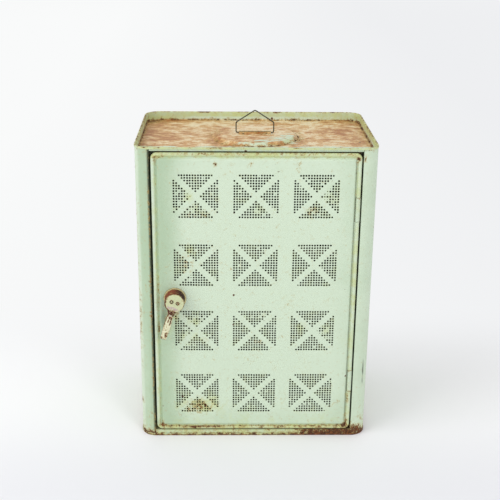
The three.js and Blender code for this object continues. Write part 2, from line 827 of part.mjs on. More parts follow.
function ledge(side, top) {
  const wall = wall_inner - fold_gap;
  const across = (from, to) => [side * from, side * to].sort((a, b) => a - b);
  let body = block(across(wall - ledge_leg, wall), ledgeReach(), [top - ledge_sheet, top]).add(
    block(across(wall - ledge_sheet, wall), ledgeReach(), [top - ledge_leg, top]),
  );
  for (const at of shelfRivetPlaces(side)) {
    body = body.subtract(rivetHole(shelf_rivet, "z", at, [top - ledge_sheet, top]));
  }
  return body;
}

// A shelf: flat sheet with the case's round corners at the rear and a folded front edge.
function shelf(low) {
  const half = wall_inner - shelf_gap;
  const rear = wall_depth - sheet - shelf_gap;
  const corner = wall_corner_radius;
  const outline = [
    [-half, shelf_setback],
    [half, shelf_setback],
    ...arc(half - corner, rear - corner, corner, 0, Math.PI / 2, corner_steps),
    ...arc(corner - half, rear - corner, corner, Math.PI / 2, Math.PI, corner_steps),
  ];
  const lip = block(
    [-half, half],
    [shelf_setback, shelf_setback + sheet],
    [low - shelf_lip, low + sheet / 2],
  );
  let body = prism(outline, "z", [low, low + sheet]).add(lip);
  for (const at of [...shelfRivetPlaces(-1), ...shelfRivetPlaces(1)]) {
    body = body.subtract(rivetHole(shelf_rivet, "z", at, [low, low + sheet]));
  }
  return body;
}

function addShelves(parent) {
  shelf_names.forEach((name, i) => {
    const share = (i + 1) / (shelf_names.length + 1);
    const low = interior_low + share * (interior_high - interior_low);
    const top = low - fold_gap;
    piece(parent, `${name}_shelf`, shelf(low), green_paint);
    for (const [side, word] of [
      [-1, "left"],
      [1, "right"],
    ]) {
      piece(parent, `${name}_${word}_ledge`, ledge(side, top), green_paint);
      shelfRivetPlaces(side).forEach((at, n) => {
        const body = rivet(shelf_rivet, "z", at, [top - ledge_sheet, low + sheet], "high");
        piece(parent, `${name}_${word}_${n ? "rear" : "front"}_shelf_rivet`, body, plain_steel);
      });
    }
  });
}

function addHingeStraps(parent) {
  strapHeights().forEach((height, i) => {
    const name = i ? "lower" : "upper";
    piece(parent, `${name}_hinge_strap`, hingeStrap(height), green_paint);
    const grip = [opening_right - fold_gap - hinge_strap_sheet, opening_right + sheet];
    hingeRivetPlaces(height).forEach((at, n) => {
      const rivet_name = `${name}_hinge_${n ? "bottom" : "top"}_rivet`;
      piece(parent, rivet_name, rivet(small_rivet, "x", at, grip), plain_steel);
    });
  });
}

function addCase(parent) {
  piece(parent, "wall_wrap", wallWrap(), green_paint);
  piece(parent, "top_pan", topPan(), worn_top);
  piece(parent, "bottom_pan", hemmedPan(0, floor_height, foot_hem_height), rusty_steel);
  piece(parent, "top_rail", topRail(), green_paint);
  piece(parent, "bottom_rail", bottomRail(), green_paint);
}

function addBail(parent) {
  piece(parent, "bail_strap", bailStrap(), rusty_steel);
  const low = tray_height + boss_height - sheet;
  const high = tray_height + boss_height + fold_gap + bail_strap_sheet;
  bailRivetPlaces().forEach((at, i) => {
    const name = i ? "right_bail_rivet" : "left_bail_rivet";
    piece(parent, name, rivet(small_rivet, "z", at, [low, high]), rusty_steel);
  });
  piece(parent, "bail_wire", bailWire(), dark_wire);
}

function addDoor(parent) {
  const door = new THREE.Group();
  parent.add(door);
  piece(door, "door_skin", doorSkin(), green_paint);
  const corner = door_corner_radius;
  const rod = bar("z", new THREE.Vector3(hinge_x, hinge_y, 0), hinge_rod_radius, [
    door_low + corner,
    door_high - corner,
  ]);
  piece(door, "hinge_rod", rod, plain_steel);
  addLatch(door);
}

const pie_safe = new THREE.Group();
addCase(pie_safe);
addHingeStraps(pie_safe);
addShelves(pie_safe);
addBail(pie_safe);
addDoor(pie_safe);

// The origin goes to the floor, under the middle of the whole object's box. The latch rivets'
// crowns reach furthest forward and the hems furthest back.
const furthest_front = -lever_front - fold_gap - latch_rivet.crown;
const furthest_back = case_depth - hem_stand;
pie_safe.position.y = -(furthest_front + furthest_back) / 2;

export default pie_safe;
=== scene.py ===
"""A small pie safe of painted sheet steel, dressed for a photograph.

Every piece is worked out in millimetres, with X to the right, Z up and Y counted back from the
front face of the case's wall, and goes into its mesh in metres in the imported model's frame.
"""

import math
from functools import partial
from types import SimpleNamespace

import bpy
import numpy as np
from bpy.props import FloatProperty, FloatVectorProperty, IntProperty, PointerProperty
from mathutils import Matrix, Vector


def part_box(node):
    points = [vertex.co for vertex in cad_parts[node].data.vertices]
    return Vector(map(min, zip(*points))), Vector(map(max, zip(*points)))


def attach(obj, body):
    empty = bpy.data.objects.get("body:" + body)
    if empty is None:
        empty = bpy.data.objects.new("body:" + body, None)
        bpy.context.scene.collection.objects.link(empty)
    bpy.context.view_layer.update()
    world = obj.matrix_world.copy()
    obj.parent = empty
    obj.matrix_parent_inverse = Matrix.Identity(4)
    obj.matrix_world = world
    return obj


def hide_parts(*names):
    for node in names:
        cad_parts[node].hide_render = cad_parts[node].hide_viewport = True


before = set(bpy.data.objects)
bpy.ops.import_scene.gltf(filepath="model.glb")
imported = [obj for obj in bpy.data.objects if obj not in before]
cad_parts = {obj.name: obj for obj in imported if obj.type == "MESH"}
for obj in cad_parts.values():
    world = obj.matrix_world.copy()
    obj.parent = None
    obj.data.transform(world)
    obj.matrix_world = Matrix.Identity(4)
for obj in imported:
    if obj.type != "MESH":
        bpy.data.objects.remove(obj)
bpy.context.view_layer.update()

bl_info = {
    "name": "Pie Safe", "version": (1, 0, 0), "blender": (4, 5, 0),
    "location": "View3D > Sidebar > Pie Safe",
    "description": "Builds a pierced sheet-steel pie safe with its worn enamel",
    "category": "Object"
}

MM = 0.001
WELD = 0.002  # points closer than this, in millimetres, are one point
FACE_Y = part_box("wall_wrap")[0].y / MM  # the wall's front face in the frame


def to_linear(code):
    """A colour written as sRGB hex, as linear red, green and blue.

    Each channel c goes to c / 12.92 up to 0.04045, and to ((c + 0.055) / 1.055) to the 2.4 above.
    """
    channels = np.array([int(code[i : i + 2], 16) for i in (0, 2, 4)]) / 255
    low = channels / 12.92
    high = ((channels + 0.055) / 1.055) ** 2.4
    return tuple(float(c) for c in np.where(channels <= 0.04045, low, high))


def length(name, description, millimetres):
    """A size that the sidebar shows as a length."""
    return FloatProperty(
        name=name, description=description, default=millimetres * MM, subtype="DISTANCE",
        precision=5
    )


def paint(name, description, code):
    """A finish colour that the sidebar shows as a swatch."""
    return FloatVectorProperty(
        name=name, description=description, default=to_linear(code), size=3, subtype="COLOR",
        min=0.0, max=1.0
    )


class CaseSizes(bpy.types.PropertyGroup):
    """Sizes of the wall, the two pans and the rails."""

    wall_half: length("Wall half width", "Half the wall's width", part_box("wall_wrap")[1].x / MM)
    wall_depth: length("Wall depth", "From the wall's front face to its back", 246.2)
    wall_low: length("Wall foot", "Height of the wall's lower edge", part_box("wall_wrap")[0].z / MM)
    wall_high: length("Wall top", "Height of the wall's upper edge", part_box("wall_wrap")[1].z / MM)
    corner: length("Corner radius", "Radius of the case's upright corners", 22.5)
    sheet: length("Sheet", "Thickness of the sheet", 0.8)
    hem_stand: length("Hem stand", "How far a hem stands outside the wall", 0.9)
    hem_width: length("Hem width", "Width of a hem over the wall's edge", 2.6)
    top_hem: length("Top hem", "How far the top's hem reaches down", 3.0)
    foot_hem: length("Foot hem", "How far the foot's hem reaches up", 4.5)
    rim: length("Rim height", "Height of the top's rim", 476.0)
    tray: length("Tray height", "Height of the recessed top's sheet", 461.7)
    floor: length("Floor height", "Height of the floor's underside", 4.0)
    left: length("Doorway left", "Left edge of the doorway", -156.6)
    right: length("Doorway right", "Right edge of the doorway", 155.4)
    head: length("Doorway head", "Upper edge of the doorway", 469.8)
    sill: length("Doorway sill", "Lower edge of the doorway", 10.0)
    stop_depth: length("Stop depth", "From the face back to the lip that stops the door", 10.0)
    stop_width: length("Stop width", "Width of that lip", 8.0)
    seam_width: length("Seam width", "Width of the lock seam up the back", 7.0)


class DoorSizes(bpy.types.PropertyGroup):
    """Sizes of the door and its pierced squares."""

    left: length("Left edge", "The door's free edge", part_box("door_skin")[0].x / MM)
    right: length("Right edge", "The door's hinge edge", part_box("door_skin")[1].x / MM)
    low: length("Lower edge", "The door's lower edge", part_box("door_skin")[0].z / MM)
    high: length("Upper edge", "The door's upper edge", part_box("door_skin")[1].z / MM)
    corner: length("Corner radius", "Radius of the door's corners", 9.5)
    proud: length("Proud", "How far the panel stands in front of the case", 1.0)
    flange: length("Flange depth", "From the case's face back to the flange's edge", 9.6)
    bead: length("Bead radius", "Radius of the bead and of the rolled edge", 3.2)
    valley: length("Valley depth", "Depth of the valley below the panel", 2.4)
    valley_flat: length("Valley width", "Width of the valley's flat", 1.2)
    slope: length("Slope width", "Run of the slope up to the panel", 3.3)
    margin: length("Margin", "From the door's edge to where its flat begins", 16.0)
    pitch: length("Hole pitch", "From one pierced hole to the next", 4.0)
    hole: length("Hole diameter", "Diameter of a pierced hole", 3.02)
    across: length("Squares across", "From one pierced square's middle to the next, across", 89.2)
    up: length("Squares up", "From one pierced square's middle to the next, up", 108.4)
    crown: length("Crown", "How far the panel bulges between its edges", 0.9)
    strap_middle: length("Strap middle", "From the door's end to a hinge strap's middle", 86.3)
    strap_length: length("Strap length", "Length of a hinge strap", 37.0)
    columns: IntProperty(name="Columns", description="Pierced squares across", default=3, min=1)
    rows: IntProperty(name="Rows", description="Pierced squares up", default=4, min=1)
    reach: IntProperty(
        name="Reach", description="Holes from a square's middle to its edge", default=8, min=2
    )


class LatchSizes(bpy.types.PropertyGroup):
    """Sizes of the lever latch, counted from its spindle."""

    x: length("Spindle X", "Place of the spindle across the door", -122.5)
    z: length("Spindle Z", "Height of the spindle", 239.9)
    front: length("Lever front", "How far the lever's face stands in front of the case", 21.5)
    sheet: length("Lever sheet", "Thickness of the lever's sheet", 1.1)
    head: length("Head radius", "Radius of the lever's head", 15.0)
    neck: length("Neck half width", "Half the lever's width at its neck", 4.6)
    neck_drop: length("Neck drop", "From the spindle down to the neck", 21.5)
    arm: length("Arm half width", "Half the lever's width at its widest", 5.4)
    arm_drop: length("Arm drop", "From the spindle down to the widest place", 39.0)
    tip: length("Tip half width", "Half the lever's width at its tip", 4.7)
    tip_drop: length("Tip drop", "From the spindle down to the tip", 62.0)
    fold: length("Fold depth", "Depth of the arm's folded sides", 4.5)
    head_fold: length("Head fold", "Depth of the head's turned edge", 1.5)
    drum_front: length("Drum front radius", "Radius of the drum at its face", 14.3)
    drum_back: length("Drum back radius", "Radius of the drum at the door", 15.3)
    rosette: length("Rosette radius", "Radius of the plate on the door", 17.3)
    angle: FloatProperty(
        name="Lever angle",
        description="How far the lever hangs out of plumb, towards the free edge",
        default=math.radians(17), subtype="ANGLE"
    )


class TopSizes(bpy.types.PropertyGroup):
    """Sizes of the boss, the bail and its strap."""

    setback: length("Setback", "From the case's face to the boss's middle", 128.0)
    base: length("Base radius", "Radius of the boss at its foot", 68.0)
    top: length("Top radius", "Radius of the boss's flat", 61.0)
    rise: length("Rise", "Height of the boss", 5.0)
    wire: length("Wire radius", "Radius of the bail's wire", 0.95)
    pivot: length("Pivot height", "Height of the bail's pivot", 468.45)
    half: length("Bail half width", "Half the bail's width", 29.5)
    shoulder: length("Shoulder", "From the pivot up to the shoulders", 16.0)
    peak: length("Peak", "From the pivot up to the peak", 35.39)
    strap: length("Strap length", "Length of the strap over the wire", 50.0)
    strap_foot: length("Strap foot", "Width of the strap's feet", 5.0)


class Colours(bpy.types.PropertyGroup):
    """Colours of the finishes."""

    enamel: paint("Enamel", "Green enamel where it has kept its depth", "adc3a4")
    # This paler enamel also paints sheen and highlights on the door and the wall.
    chalked: paint("Chalked enamel", "Enamel that light has bleached and chalked", "cdddc5")
    stain: paint("Stain", "Enamel that has yellowed", "c2cc90")
    halo: paint("Halo", "Brown stain that runs ahead of rust", "b29a5c")
    # This dark is also painted shade in the gaps round the door and in its valleys.
    grime: paint("Grime", "Old dirt in gaps and grooves", "303a22")
    primer: paint("Primer", "Tan primer and thin rust where enamel has gone", "d3aa70")
    primer_dark: paint("Dark primer", "The same where it is dirtier", "a86a34")
    cream: paint("Undercoat", "Pale undercoat among the primer", "e8d8b2")
    rust: paint("Rust", "Loose rust", "93592b")
    rust_dark: paint("Old rust", "Old dark rust", "42240f")
    rust_red: paint("Red rust", "Redder rust on the latch", "8a4526")
    lever: paint("Lever enamel", "Cream enamel on the lever", "c5cca0")
    lever_pink: paint("Lever undercoat", "Pinkish undercoat where the lever is rubbed", "b9a2a2")
    rosette: paint("Rosette enamel", "Ochre cream enamel on the latch's plate", "cfc68f")
    lever_bleached: paint("Bleached lever", "Lever enamel where light has bleached it", "e2e2c2")
    lever_rust: paint("Lever rust", "Dark rust on the lever", "3e1f15")
    inside: paint("Inside primer", "Dark primer on the inside of the sheets", "4b4939")
    inside_dark: paint("Inside clouds", "The same where it is thicker", "38352a")
    crust: paint("Crust", "What shows under the full coat of rust", "4a2415")
    crust_dark: paint("Dark crust", "Full rust at its darkest", "28150d")
    crust_rubbed: paint("Rubbed crust", "The same where it is rubbed", "7a3a1e")
    crust_red: paint("Red crust", "Redder blooms on the full rust", "4a2014")
    wire: paint("Wire", "Darkened steel wire", "5e5d50")
    zinc: paint("Zinc", "Dull zinc on the inner hardware", "9a978f")
    tarnish: paint("Tarnish", "Brown tarnish on wire and zinc", "40362b")
    stage: paint("Stage", "Paper of the floor", "fafafc")
    # Painted shade: the floor's paper is darker where it comes forward.
    stage_front_shade: paint("Stage front", "Paper of the floor where it comes forward", "ececf1")
    backdrop: paint("Backdrop", "The paper's own tone further out", "f9fafa")
    # Painted shade: the backdrop's glow is darker at the right.
    backdrop_right_shade: paint("Backdrop right", "The same at the right", "eeeff1")
    horizon: paint("Horizon", "Where the paper ends, and beyond it", "f4f5f6")


class StageSettings(bpy.types.PropertyGroup):
    """The camera and the lights."""

    lens: FloatProperty(
        name="Lens", description="Focal length on a 36 mm sensor, in millimetres", default=69.63,
        subtype="NONE"
    )
    place: FloatVectorProperty(
        name="Place", description="Where the camera stands", default=(-0.0416, -1.4743, 0.8199),
        size=3, subtype="TRANSLATION"
    )
    yaw: FloatProperty(
        name="Yaw", description="Turn of the camera to the right", default=math.radians(1.38),
        subtype="ANGLE"
    )
    pitch: FloatProperty(
        name="Pitch", description="Tilt of the camera downwards", default=math.radians(20.21),
        subtype="ANGLE"
    )
    roll: FloatProperty(
        name="Roll", description="Roll of the camera about its axis", default=math.radians(0.59),
        subtype="ANGLE"
    )
    sky: FloatProperty(
        name="Sky", description="Strength of the even light from all round", default=0.745
    )
    key: FloatProperty(name="Key", description="Power of the large soft lamp", default=33.0)
    fill: FloatProperty(name="Fill", description="Power of the lamp at the right", default=16.0)


GROUPS = {
    "safe_case": CaseSizes, "safe_door": DoorSizes, "safe_latch": LatchSizes, "safe_top": TopSizes,
    "safe_colours": Colours, "safe_stage": StageSettings
}


def sizes(group):
    """A group's lengths in millimetres, its other values as they are."""
    values = {}
    for key in group.__annotations__:
        kind = group.bl_rna.properties[key]
        value = getattr(group, key)
        values[key] = value / MM if kind.unit == "LENGTH" and kind.type == "FLOAT" else value
    return SimpleNamespace(**values)


def colour(key):
    """One of the finish colours, with full alpha."""
    return (*getattr(bpy.context.scene.safe_colours, key), 1.0)


# Shapes


def fill(path, spacing):
    """The path with more points on its long stretches, evenly between each two it has.

    Each stretch is cut into its length over the spacing, rounded up.
    """
    path = np.asarray(path, float)
    flat = path.reshape(len(path), -1)
    gaps = np.linalg.norm(np.diff(flat, axis=0), axis=1)
    counts = np.ceil(gaps / spacing - 1e-6).clip(1)
    places = np.concatenate([[0.0], np.cumsum(counts)])
    at = np.arange(places[-1] + 1)
    columns = [np.interp(at, places, column) for column in flat.T]
    return np.stack(columns, axis=1).reshape(-1, *path.shape[1:])


def rounded(path, radii, steps=5):
    """An open path in a plane with its corners rounded.

    A corner that turns by t leaves its sides radius times tan(t / 2) before and after the corner,
    and follows the circle that touches both there.
    """
    path = np.asarray(path, float)
    into = path[1:-1] - path[:-2]
    out = path[2:] - path[1:-1]
    into /= np.linalg.norm(into, axis=1, keepdims=True)
    out /= np.linalg.norm(out, axis=1, keepdims=True)
    turn = np.arctan2(into[:, 0] * out[:, 1] - into[:, 1] * out[:, 0], (into * out).sum(axis=1))
    radius = np.broadcast_to(np.asarray(radii, float), turn.shape)
    cut = radius * np.tan(np.abs(turn) / 2)
    side = np.stack([-into[:, 1], into[:, 0]], axis=1) * np.sign(turn)[:, None]
    start = path[1:-1] - into * cut[:, None]
    centre = start + side * radius[:, None]
    angle = turn[:, None] * np.linspace(0, 1, steps + 1)
    arm = -side * radius[:, None]
    x = arm[:, :1] * np.cos(angle) - arm[:, 1:] * np.sin(angle)
    y = arm[:, :1] * np.sin(angle) + arm[:, 1:] * np.cos(angle)
    arcs = centre[:, None, :] + np.stack([x, y], axis=2)
    return np.concatenate([path[:1], arcs.reshape(-1, 2), path[-1:]])


def smooth(value, low, high):
    """0 up to low, 1 from high on, and 3t^2 - 2t^3 of the share t between them."""
    share = np.clip((np.asarray(value, float) - low) / (high - low), 0, 1)
    return share * share * (3 - 2 * share)


def grid(rows, columns, close_rows=False, close_columns=False):
    """The faces of a grid of points numbered row by row, as an array of rows and columns of faces.

    Each joins a point, the next in its row, and the two after them in the next row.
    """
    r = np.arange(rows if close_rows else rows - 1)[:, None]
    c = np.arange(columns if close_columns else columns - 1)[None, :]
    r_next, c_next = (r + 1) % rows, (c + 1) % columns
    corners = (
        r * columns + c, r * columns + c_next, r_next * columns + c_next, r_next * columns + c
    )
    return np.stack(np.broadcast_arrays(*corners), axis=-1)


def turned_over(faces):
    """The same faces seen from their other side."""
    return np.asarray(faces).reshape(-1, 4)[:, ::-1]


def joined(*shapes):
    """Several shapes as one, their points and faces numbered on."""
    points = [np.asarray(shape[0], float).reshape(-1, 3) for shape in shapes]
    starts = np.cumsum([0] + [len(p) for p in points[:-1]])
    faces = [np.asarray(shape[1]).reshape(-1, 4) + start for shape, start in zip(shapes, starts)]
    return np.concatenate(points), np.concatenate(faces)


def ring(low, high, inset, radius, lines, steps):
    """Rows of points round a rounded rectangle, each row drawn in from its outline by an inset.

    A corner is a quarter circle, centre plus radius times (cos, sin). The sides carry the given
    lines and end where the corners begin. Seen with its second axis up, a row runs anticlockwise
    from the start of its lower side.
    """
    inset, radius = np.atleast_1d(inset).astype(float), np.atleast_1d(radius).astype(float)
    count = len(inset)
    reach = (inset + radius)[:, None]
    start = [np.minimum(low[i] + reach, (low[i] + high[i]) / 2) for i in (0, 1)]
    end = [np.maximum(high[i] - reach, (low[i] + high[i]) / 2) for i in (0, 1)]
    rows = [np.broadcast_to(line, (count, np.shape(line)[-1])) for line in lines]
    across, up = (
        np.concatenate([s, np.clip(row, s, e), e], 1) for row, s, e in zip(rows, start, end)
    )
    r = radius[:, None]
    angle = np.linspace(0, math.pi / 2, steps + 1)[1:-1][None, :]
    cos, sin = np.cos(angle), np.sin(angle)
    (x0, z0), (x1, z1) = start, end
    sides_x = [across, x1 + r * sin, np.repeat(x1 + r, up.shape[1], 1), x1 + r * cos]
    sides_x += [across[:, ::-1], x0 - r * sin, np.repeat(x0 - r, up.shape[1], 1), x0 - r * cos]
    sides_z = [np.repeat(z0 - r, across.shape[1], 1), z0 - r * cos, up, z1 + r * sin]
    sides_z += [np.repeat(z1 + r, across.shape[1], 1), z1 + r * cos, up[:, ::-1], z0 - r * sin]
    return np.concatenate(sides_x, 1), np.concatenate(sides_z, 1)


def lathe(profile, centre, axis, sides=40, close=False):
    """A profile of (radius, place along the axis) turned about an axis through a centre.

    A point is centre + along * axis + radius * (cos a * e1 + sin a * e2), with e1 x e2 = axis.
    """
    profile = np.asarray(profile, float)
    turn = {"X": (1, 2, 0), "Y": (2, 0, 1), "Z": (0, 1, 2)}[axis]
    angle = np.linspace(0, 2 * math.pi, sides, endpoint=False)
    points = np.empty((len(profile), sides, 3))
    centre = np.array(centre, float)
    centre[turn[2]] = 0
    points[..., turn[0]] = centre[turn[0]] + profile[:, :1] * np.cos(angle)
    points[..., turn[1]] = centre[turn[1]] + profile[:, :1] * np.sin(angle)
    points[..., turn[2]] = profile[:, 1:]
    return points, grid(len(profile), sides, close, True)


def dome(radius, base, rise, steps=5):
    """The profile of a low dome from its rim to its pole: radius * cos a, base + rise * sin a."""
    angle = np.linspace(0, math.pi / 2, steps)
    return np.stack([radius * np.cos(angle), base + rise * np.sin(angle)], axis=1)


def drawn(path, lines, axis):
    """A path in a plane drawn out along the axis across it, through the given places.

    Along Z the path holds (x, y), along X (y, z) and along Y (x, z). Seen against the axis, the
    faces look to the left of the path.
    """
    path, lines = np.asarray(path, float), np.asarray(lines, float)
    order = {"Z": (0, 1, 2), "X": (1, 2, 0), "Y": (0, 2, 1)}[axis]
    points = np.empty((len(path), len(lines), 3))
    points[..., order[0]] = path[:, :1]
    points[..., order[1]] = path[:, 1:]
    points[..., order[2]] = lines
    return points, grid(len(path), len(lines))


def pressed(outline, spine, rows):
    """A plate seen from the front, worked from its edge in to a line along its middle.

    A row moves the outline inwards along its normals by an inset, then draws it towards the
    nearest place on the spine by a share, and lies at its own depth behind the case's face.
    """
    outline, spine = np.asarray(outline, float), np.asarray(spine, float)
    along = np.roll(outline, -1, axis=0) - np.roll(outline, 1, axis=0)
    along /= np.linalg.norm(along, axis=1, keepdims=True)
    inward = np.stack([-along[:, 1], along[:, 0]], axis=1)
    points = np.empty((len(rows), len(outline), 3))
    for i, (inset, share, depth) in enumerate(rows):
        moved = outline + inward * inset
        points[i][:, [0, 2]] = moved + (spine - moved) * share
        points[i][:, 1] = depth
    return points, grid(len(rows), len(outline), False, True)


def about_spindle(points, latch):
    """Points drawn about the latch's spindle with its lever plumb, turned and put in place.

    By the lever's angle a, across becomes x cos a + z sin a, and up becomes z cos a - x sin a.
    """
    points = np.array(points, float).reshape(-1, 3)
    x, z = points[:, 0].copy(), points[:, 2].copy()
    cos, sin = math.cos(latch.angle), math.sin(latch.angle)
    points[:, 0] = latch.x + x * cos + z * sin
    points[:, 2] = latch.z - x * sin + z * cos
    return points


def dents(a, b, seed, size, waves=7):
    """A gentle unevenness between about -size and size: a seeded sum of slow plane waves.

    Each wave is sin(a * u + b * v + phase), with wavelengths of 60 to 240 mm in all directions.
    """
    random = np.random.default_rng(seed)
    heading = random.uniform(0, 2 * math.pi, waves)
    speed = 2 * math.pi / random.uniform(60, 240, waves)
    phase = random.uniform(0, 2 * math.pi, waves)
    turn = a[..., None] * (speed * np.cos(heading)) + b[..., None] * (speed * np.sin(heading))
    return size * np.sin(turn + phase).sum(axis=-1) / math.sqrt(waves)


def spots(x, z, places):
    """How strongly marked places reach a point: the largest strength * exp(-(distance / reach)^2).

    A place is (x, z, reach across, reach up, strength).
    """
    px, pz, across, up, strength = np.asarray(places, float).T
    square = ((x[:, None] - px) / across) ** 2 + ((z[:, None] - pz) / up) ** 2
    return (strength * np.exp(-square)).max(axis=1)


def piece(
    name, shape, finish, body, nodes, thickness=0.0, sharp=38.0, even=True, lining="", slot="",
    **fields
):
    """Puts a shape into the scene as one finished piece that rides on a body.

    Points at one place become one, and faces keep only their different corners. A sheet gets its
    thickness behind its faces, and its back and its cut edges may take a finish of their own, its
    lining. The slot is not used. Each field is a number, an array for the shape's points or a
    function of the finished points, and becomes a value of that name that the finish reads.
    """
    points = np.asarray(shape[0], float).reshape(-1, 3)
    keys = np.round(points / WELD).astype(np.int64)
    _, first, place = np.unique(keys, axis=0, return_index=True, return_inverse=True)
    corners = place.reshape(-1)[np.asarray(shape[1]).reshape(-1, 4)]
    kept = corners != np.roll(corners, -1, axis=1)
    kept &= (kept.sum(axis=1) >= 3)[:, None]
    counts = kept.sum(axis=1)
    used, loops = np.unique(corners[kept], return_inverse=True)
    points = points[first[used]]
    counts = counts[counts > 0]

    mesh = bpy.data.meshes.new(name)
    mesh.vertices.add(len(points))
    placed = (points + (0, FACE_Y, 0)) * MM
    mesh.vertices.foreach_set("co", placed.astype(np.float32).ravel())
    mesh.loops.add(len(loops))
    mesh.loops.foreach_set("vertex_index", loops.reshape(-1).astype(np.int32))
    mesh.polygons.add(len(counts))
    starts = np.concatenate([[0], np.cumsum(counts)[:-1]])
    mesh.polygons.foreach_set("loop_start", starts.astype(np.int32))
    mesh.update(calc_edges=True)
    mesh.validate()
    for key, field in fields.items():
        values = field(points) if callable(field) else field
        if np.size(values) > len(points):
            values = values[first[used]]
        values = np.broadcast_to(values, len(points))
        mesh.attributes.new(key, "FLOAT", "POINT").data.foreach_set(
            "value", np.clip(values, 0, 1).astype(np.float32)
        )

    made = bpy.data.objects.new(name, mesh)
    bpy.context.scene.collection.objects.link(made)
    if thickness:
        wall = made.modifiers.new("wall", "SOLIDIFY")
        wall.thickness = thickness * MM
        wall.offset = -1
        wall.use_even_offset = even
        wall.thickness_clamp = 0
        if lining:
            mesh.materials.append(bpy.data.materials[finish])
            mesh.materials.append(bpy.data.materials[lining])
            wall.material_offset = wall.material_offset_rim = 1
        thick = bpy.data.meshes.new_from_object(
            made.evaluated_get(bpy.context.evaluated_depsgraph_get())
        )
        made.modifiers.clear()
        made.data = thick
        mesh = thick
    mesh.polygons.foreach_set("use_smooth", np.ones(len(mesh.polygons), bool))
    mesh.set_sharp_from_angle(angle=math.radians(sharp))
    if not mesh.materials:
        mesh.materials.append(bpy.data.materials[finish])
    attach(made, body)
    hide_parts(*nodes)


# Finishes


# Kinds of node that the finishes use most, with the settings that they have here
NOISE = ("ShaderNodeTexNoise", {})
RAMP = ("ShaderNodeMapRange", {"interpolation_type": "SMOOTHSTEP"})
BLEND = ("ShaderNodeMix", {"data_type": "RGBA"})
SUM = ("ShaderNodeMath", {"operation": "MULTIPLY_ADD"})
LARGER = ("ShaderNodeMath", {"operation": "MAXIMUM"})


def add(tree, kind, *inputs, out=None, **settings):
    """One node with its settings and links. Gives its first output in use, or the one named.

    A kind is one of the pairs above or a node's type. The inputs stand in the order of the
    sockets in use, or in one table by name, and each is a value or a socket to link from.
    """
    kind, usual = (kind, {}) if isinstance(kind, str) else kind
    node = tree.nodes.new(kind)
    for key, value in {**usual, **settings}.items():
        setattr(node, key, value)
    if inputs and isinstance(inputs[0], dict):
        given = [(node.inputs[key], value) for key, value in inputs[0].items()]
    else:
        given = list(zip([socket for socket in node.inputs if socket.enabled], inputs))
    for socket, value in given:
        if isinstance(value, bpy.types.NodeSocket):
            tree.links.new(value, socket)
        else:
            socket.default_value = value
    return node.outputs[out] if out else next((o for o in node.outputs if o.enabled), None)


def new_finish(name, *keys):
    """An empty material, as what adds a node to it, its coordinates and its piece's values."""
    material = bpy.data.materials.new(name)
    material.use_nodes = True
    material.node_tree.nodes.clear()
    node = partial(add, material.node_tree)
    fields = [node("ShaderNodeAttribute", out="Fac", attribute_name=key) for key in keys]
    return node, node("ShaderNodeTexCoord", out="Object"), *fields


def rusting(node, at, coat, rust_dark, rust_light, gloss, fine=1.0):
    """Lays rust over a coat of paint, and ends the material in its shader.

    The piece's rust value says how far rust has come. Blots of 6 mm and grit decide where it
    breaks out, a yellow-brown halo runs ahead of it, and a few chips of the paint lie anywhere,
    one to a cell of 16 mm at most. The rust's own tone changes over 3 mm. Real grit is a tenth of
    a millimetre, too fine to show, and is drawn at 0.8 mm. Here and in every finish, a pattern's
    scale is 1000 over its size in millimetres.
    """
    rust = node("ShaderNodeAttribute", out="Fac", attribute_name="rust")
    blots = node(RAMP, node(NOISE, at, 170.0 * fine, 8.0, 0.7), 0.25, 0.75)
    grit = node(RAMP, node(NOISE, at, 1300.0, 2.0, 0.5), 0.25, 0.75)
    reach = node(SUM, grit, 0.35, node(SUM, blots, 0.75, rust))
    cells = node("ShaderNodeTexVoronoi", {"Vector": at, "Scale": 62.0, "Randomness": 1.0})
    chosen = node("ShaderNodeSeparateColor", cells.node.outputs["Color"])
    ragged = node(SUM, grit, -0.06, cells)
    size = node(RAMP, chosen, 0.82, 1.0, -0.03, 0.09)
    chip = node(RAMP, node(SUM, ragged, -1.0, size), -0.03, 0.01)
    halo = node(RAMP, reach, 0.72, 1.12, 0.0, 0.85)
    broken = node(LARGER, node(RAMP, reach, 1.04, 1.16), chip)
    tone = node(RAMP, node(NOISE, at, 330.0, 6.0, 0.75), 0.42, 0.7)
    stained = node(BLEND, halo, coat, colour("halo"))
    final = node(BLEND, broken, stained, node(BLEND, tone, rust_dark, rust_light))
    dull = node(RAMP, reach, 0.8, 1.2, gloss, 0.88)
    pits = node(SUM, broken, -0.6, node(SUM, grit, 0.25, blots))
    bump = node("ShaderNodeBump", {"Height": pits, "Strength": 0.4, "Distance": 0.0003})
    paint_or_rust = node(
        "ShaderNodeBsdfPrincipled",
        {"Base Color": final, "Roughness": dull, "IOR": 1.5, "Normal": bump}
    )
    node("ShaderNodeOutputMaterial", paint_or_rust)


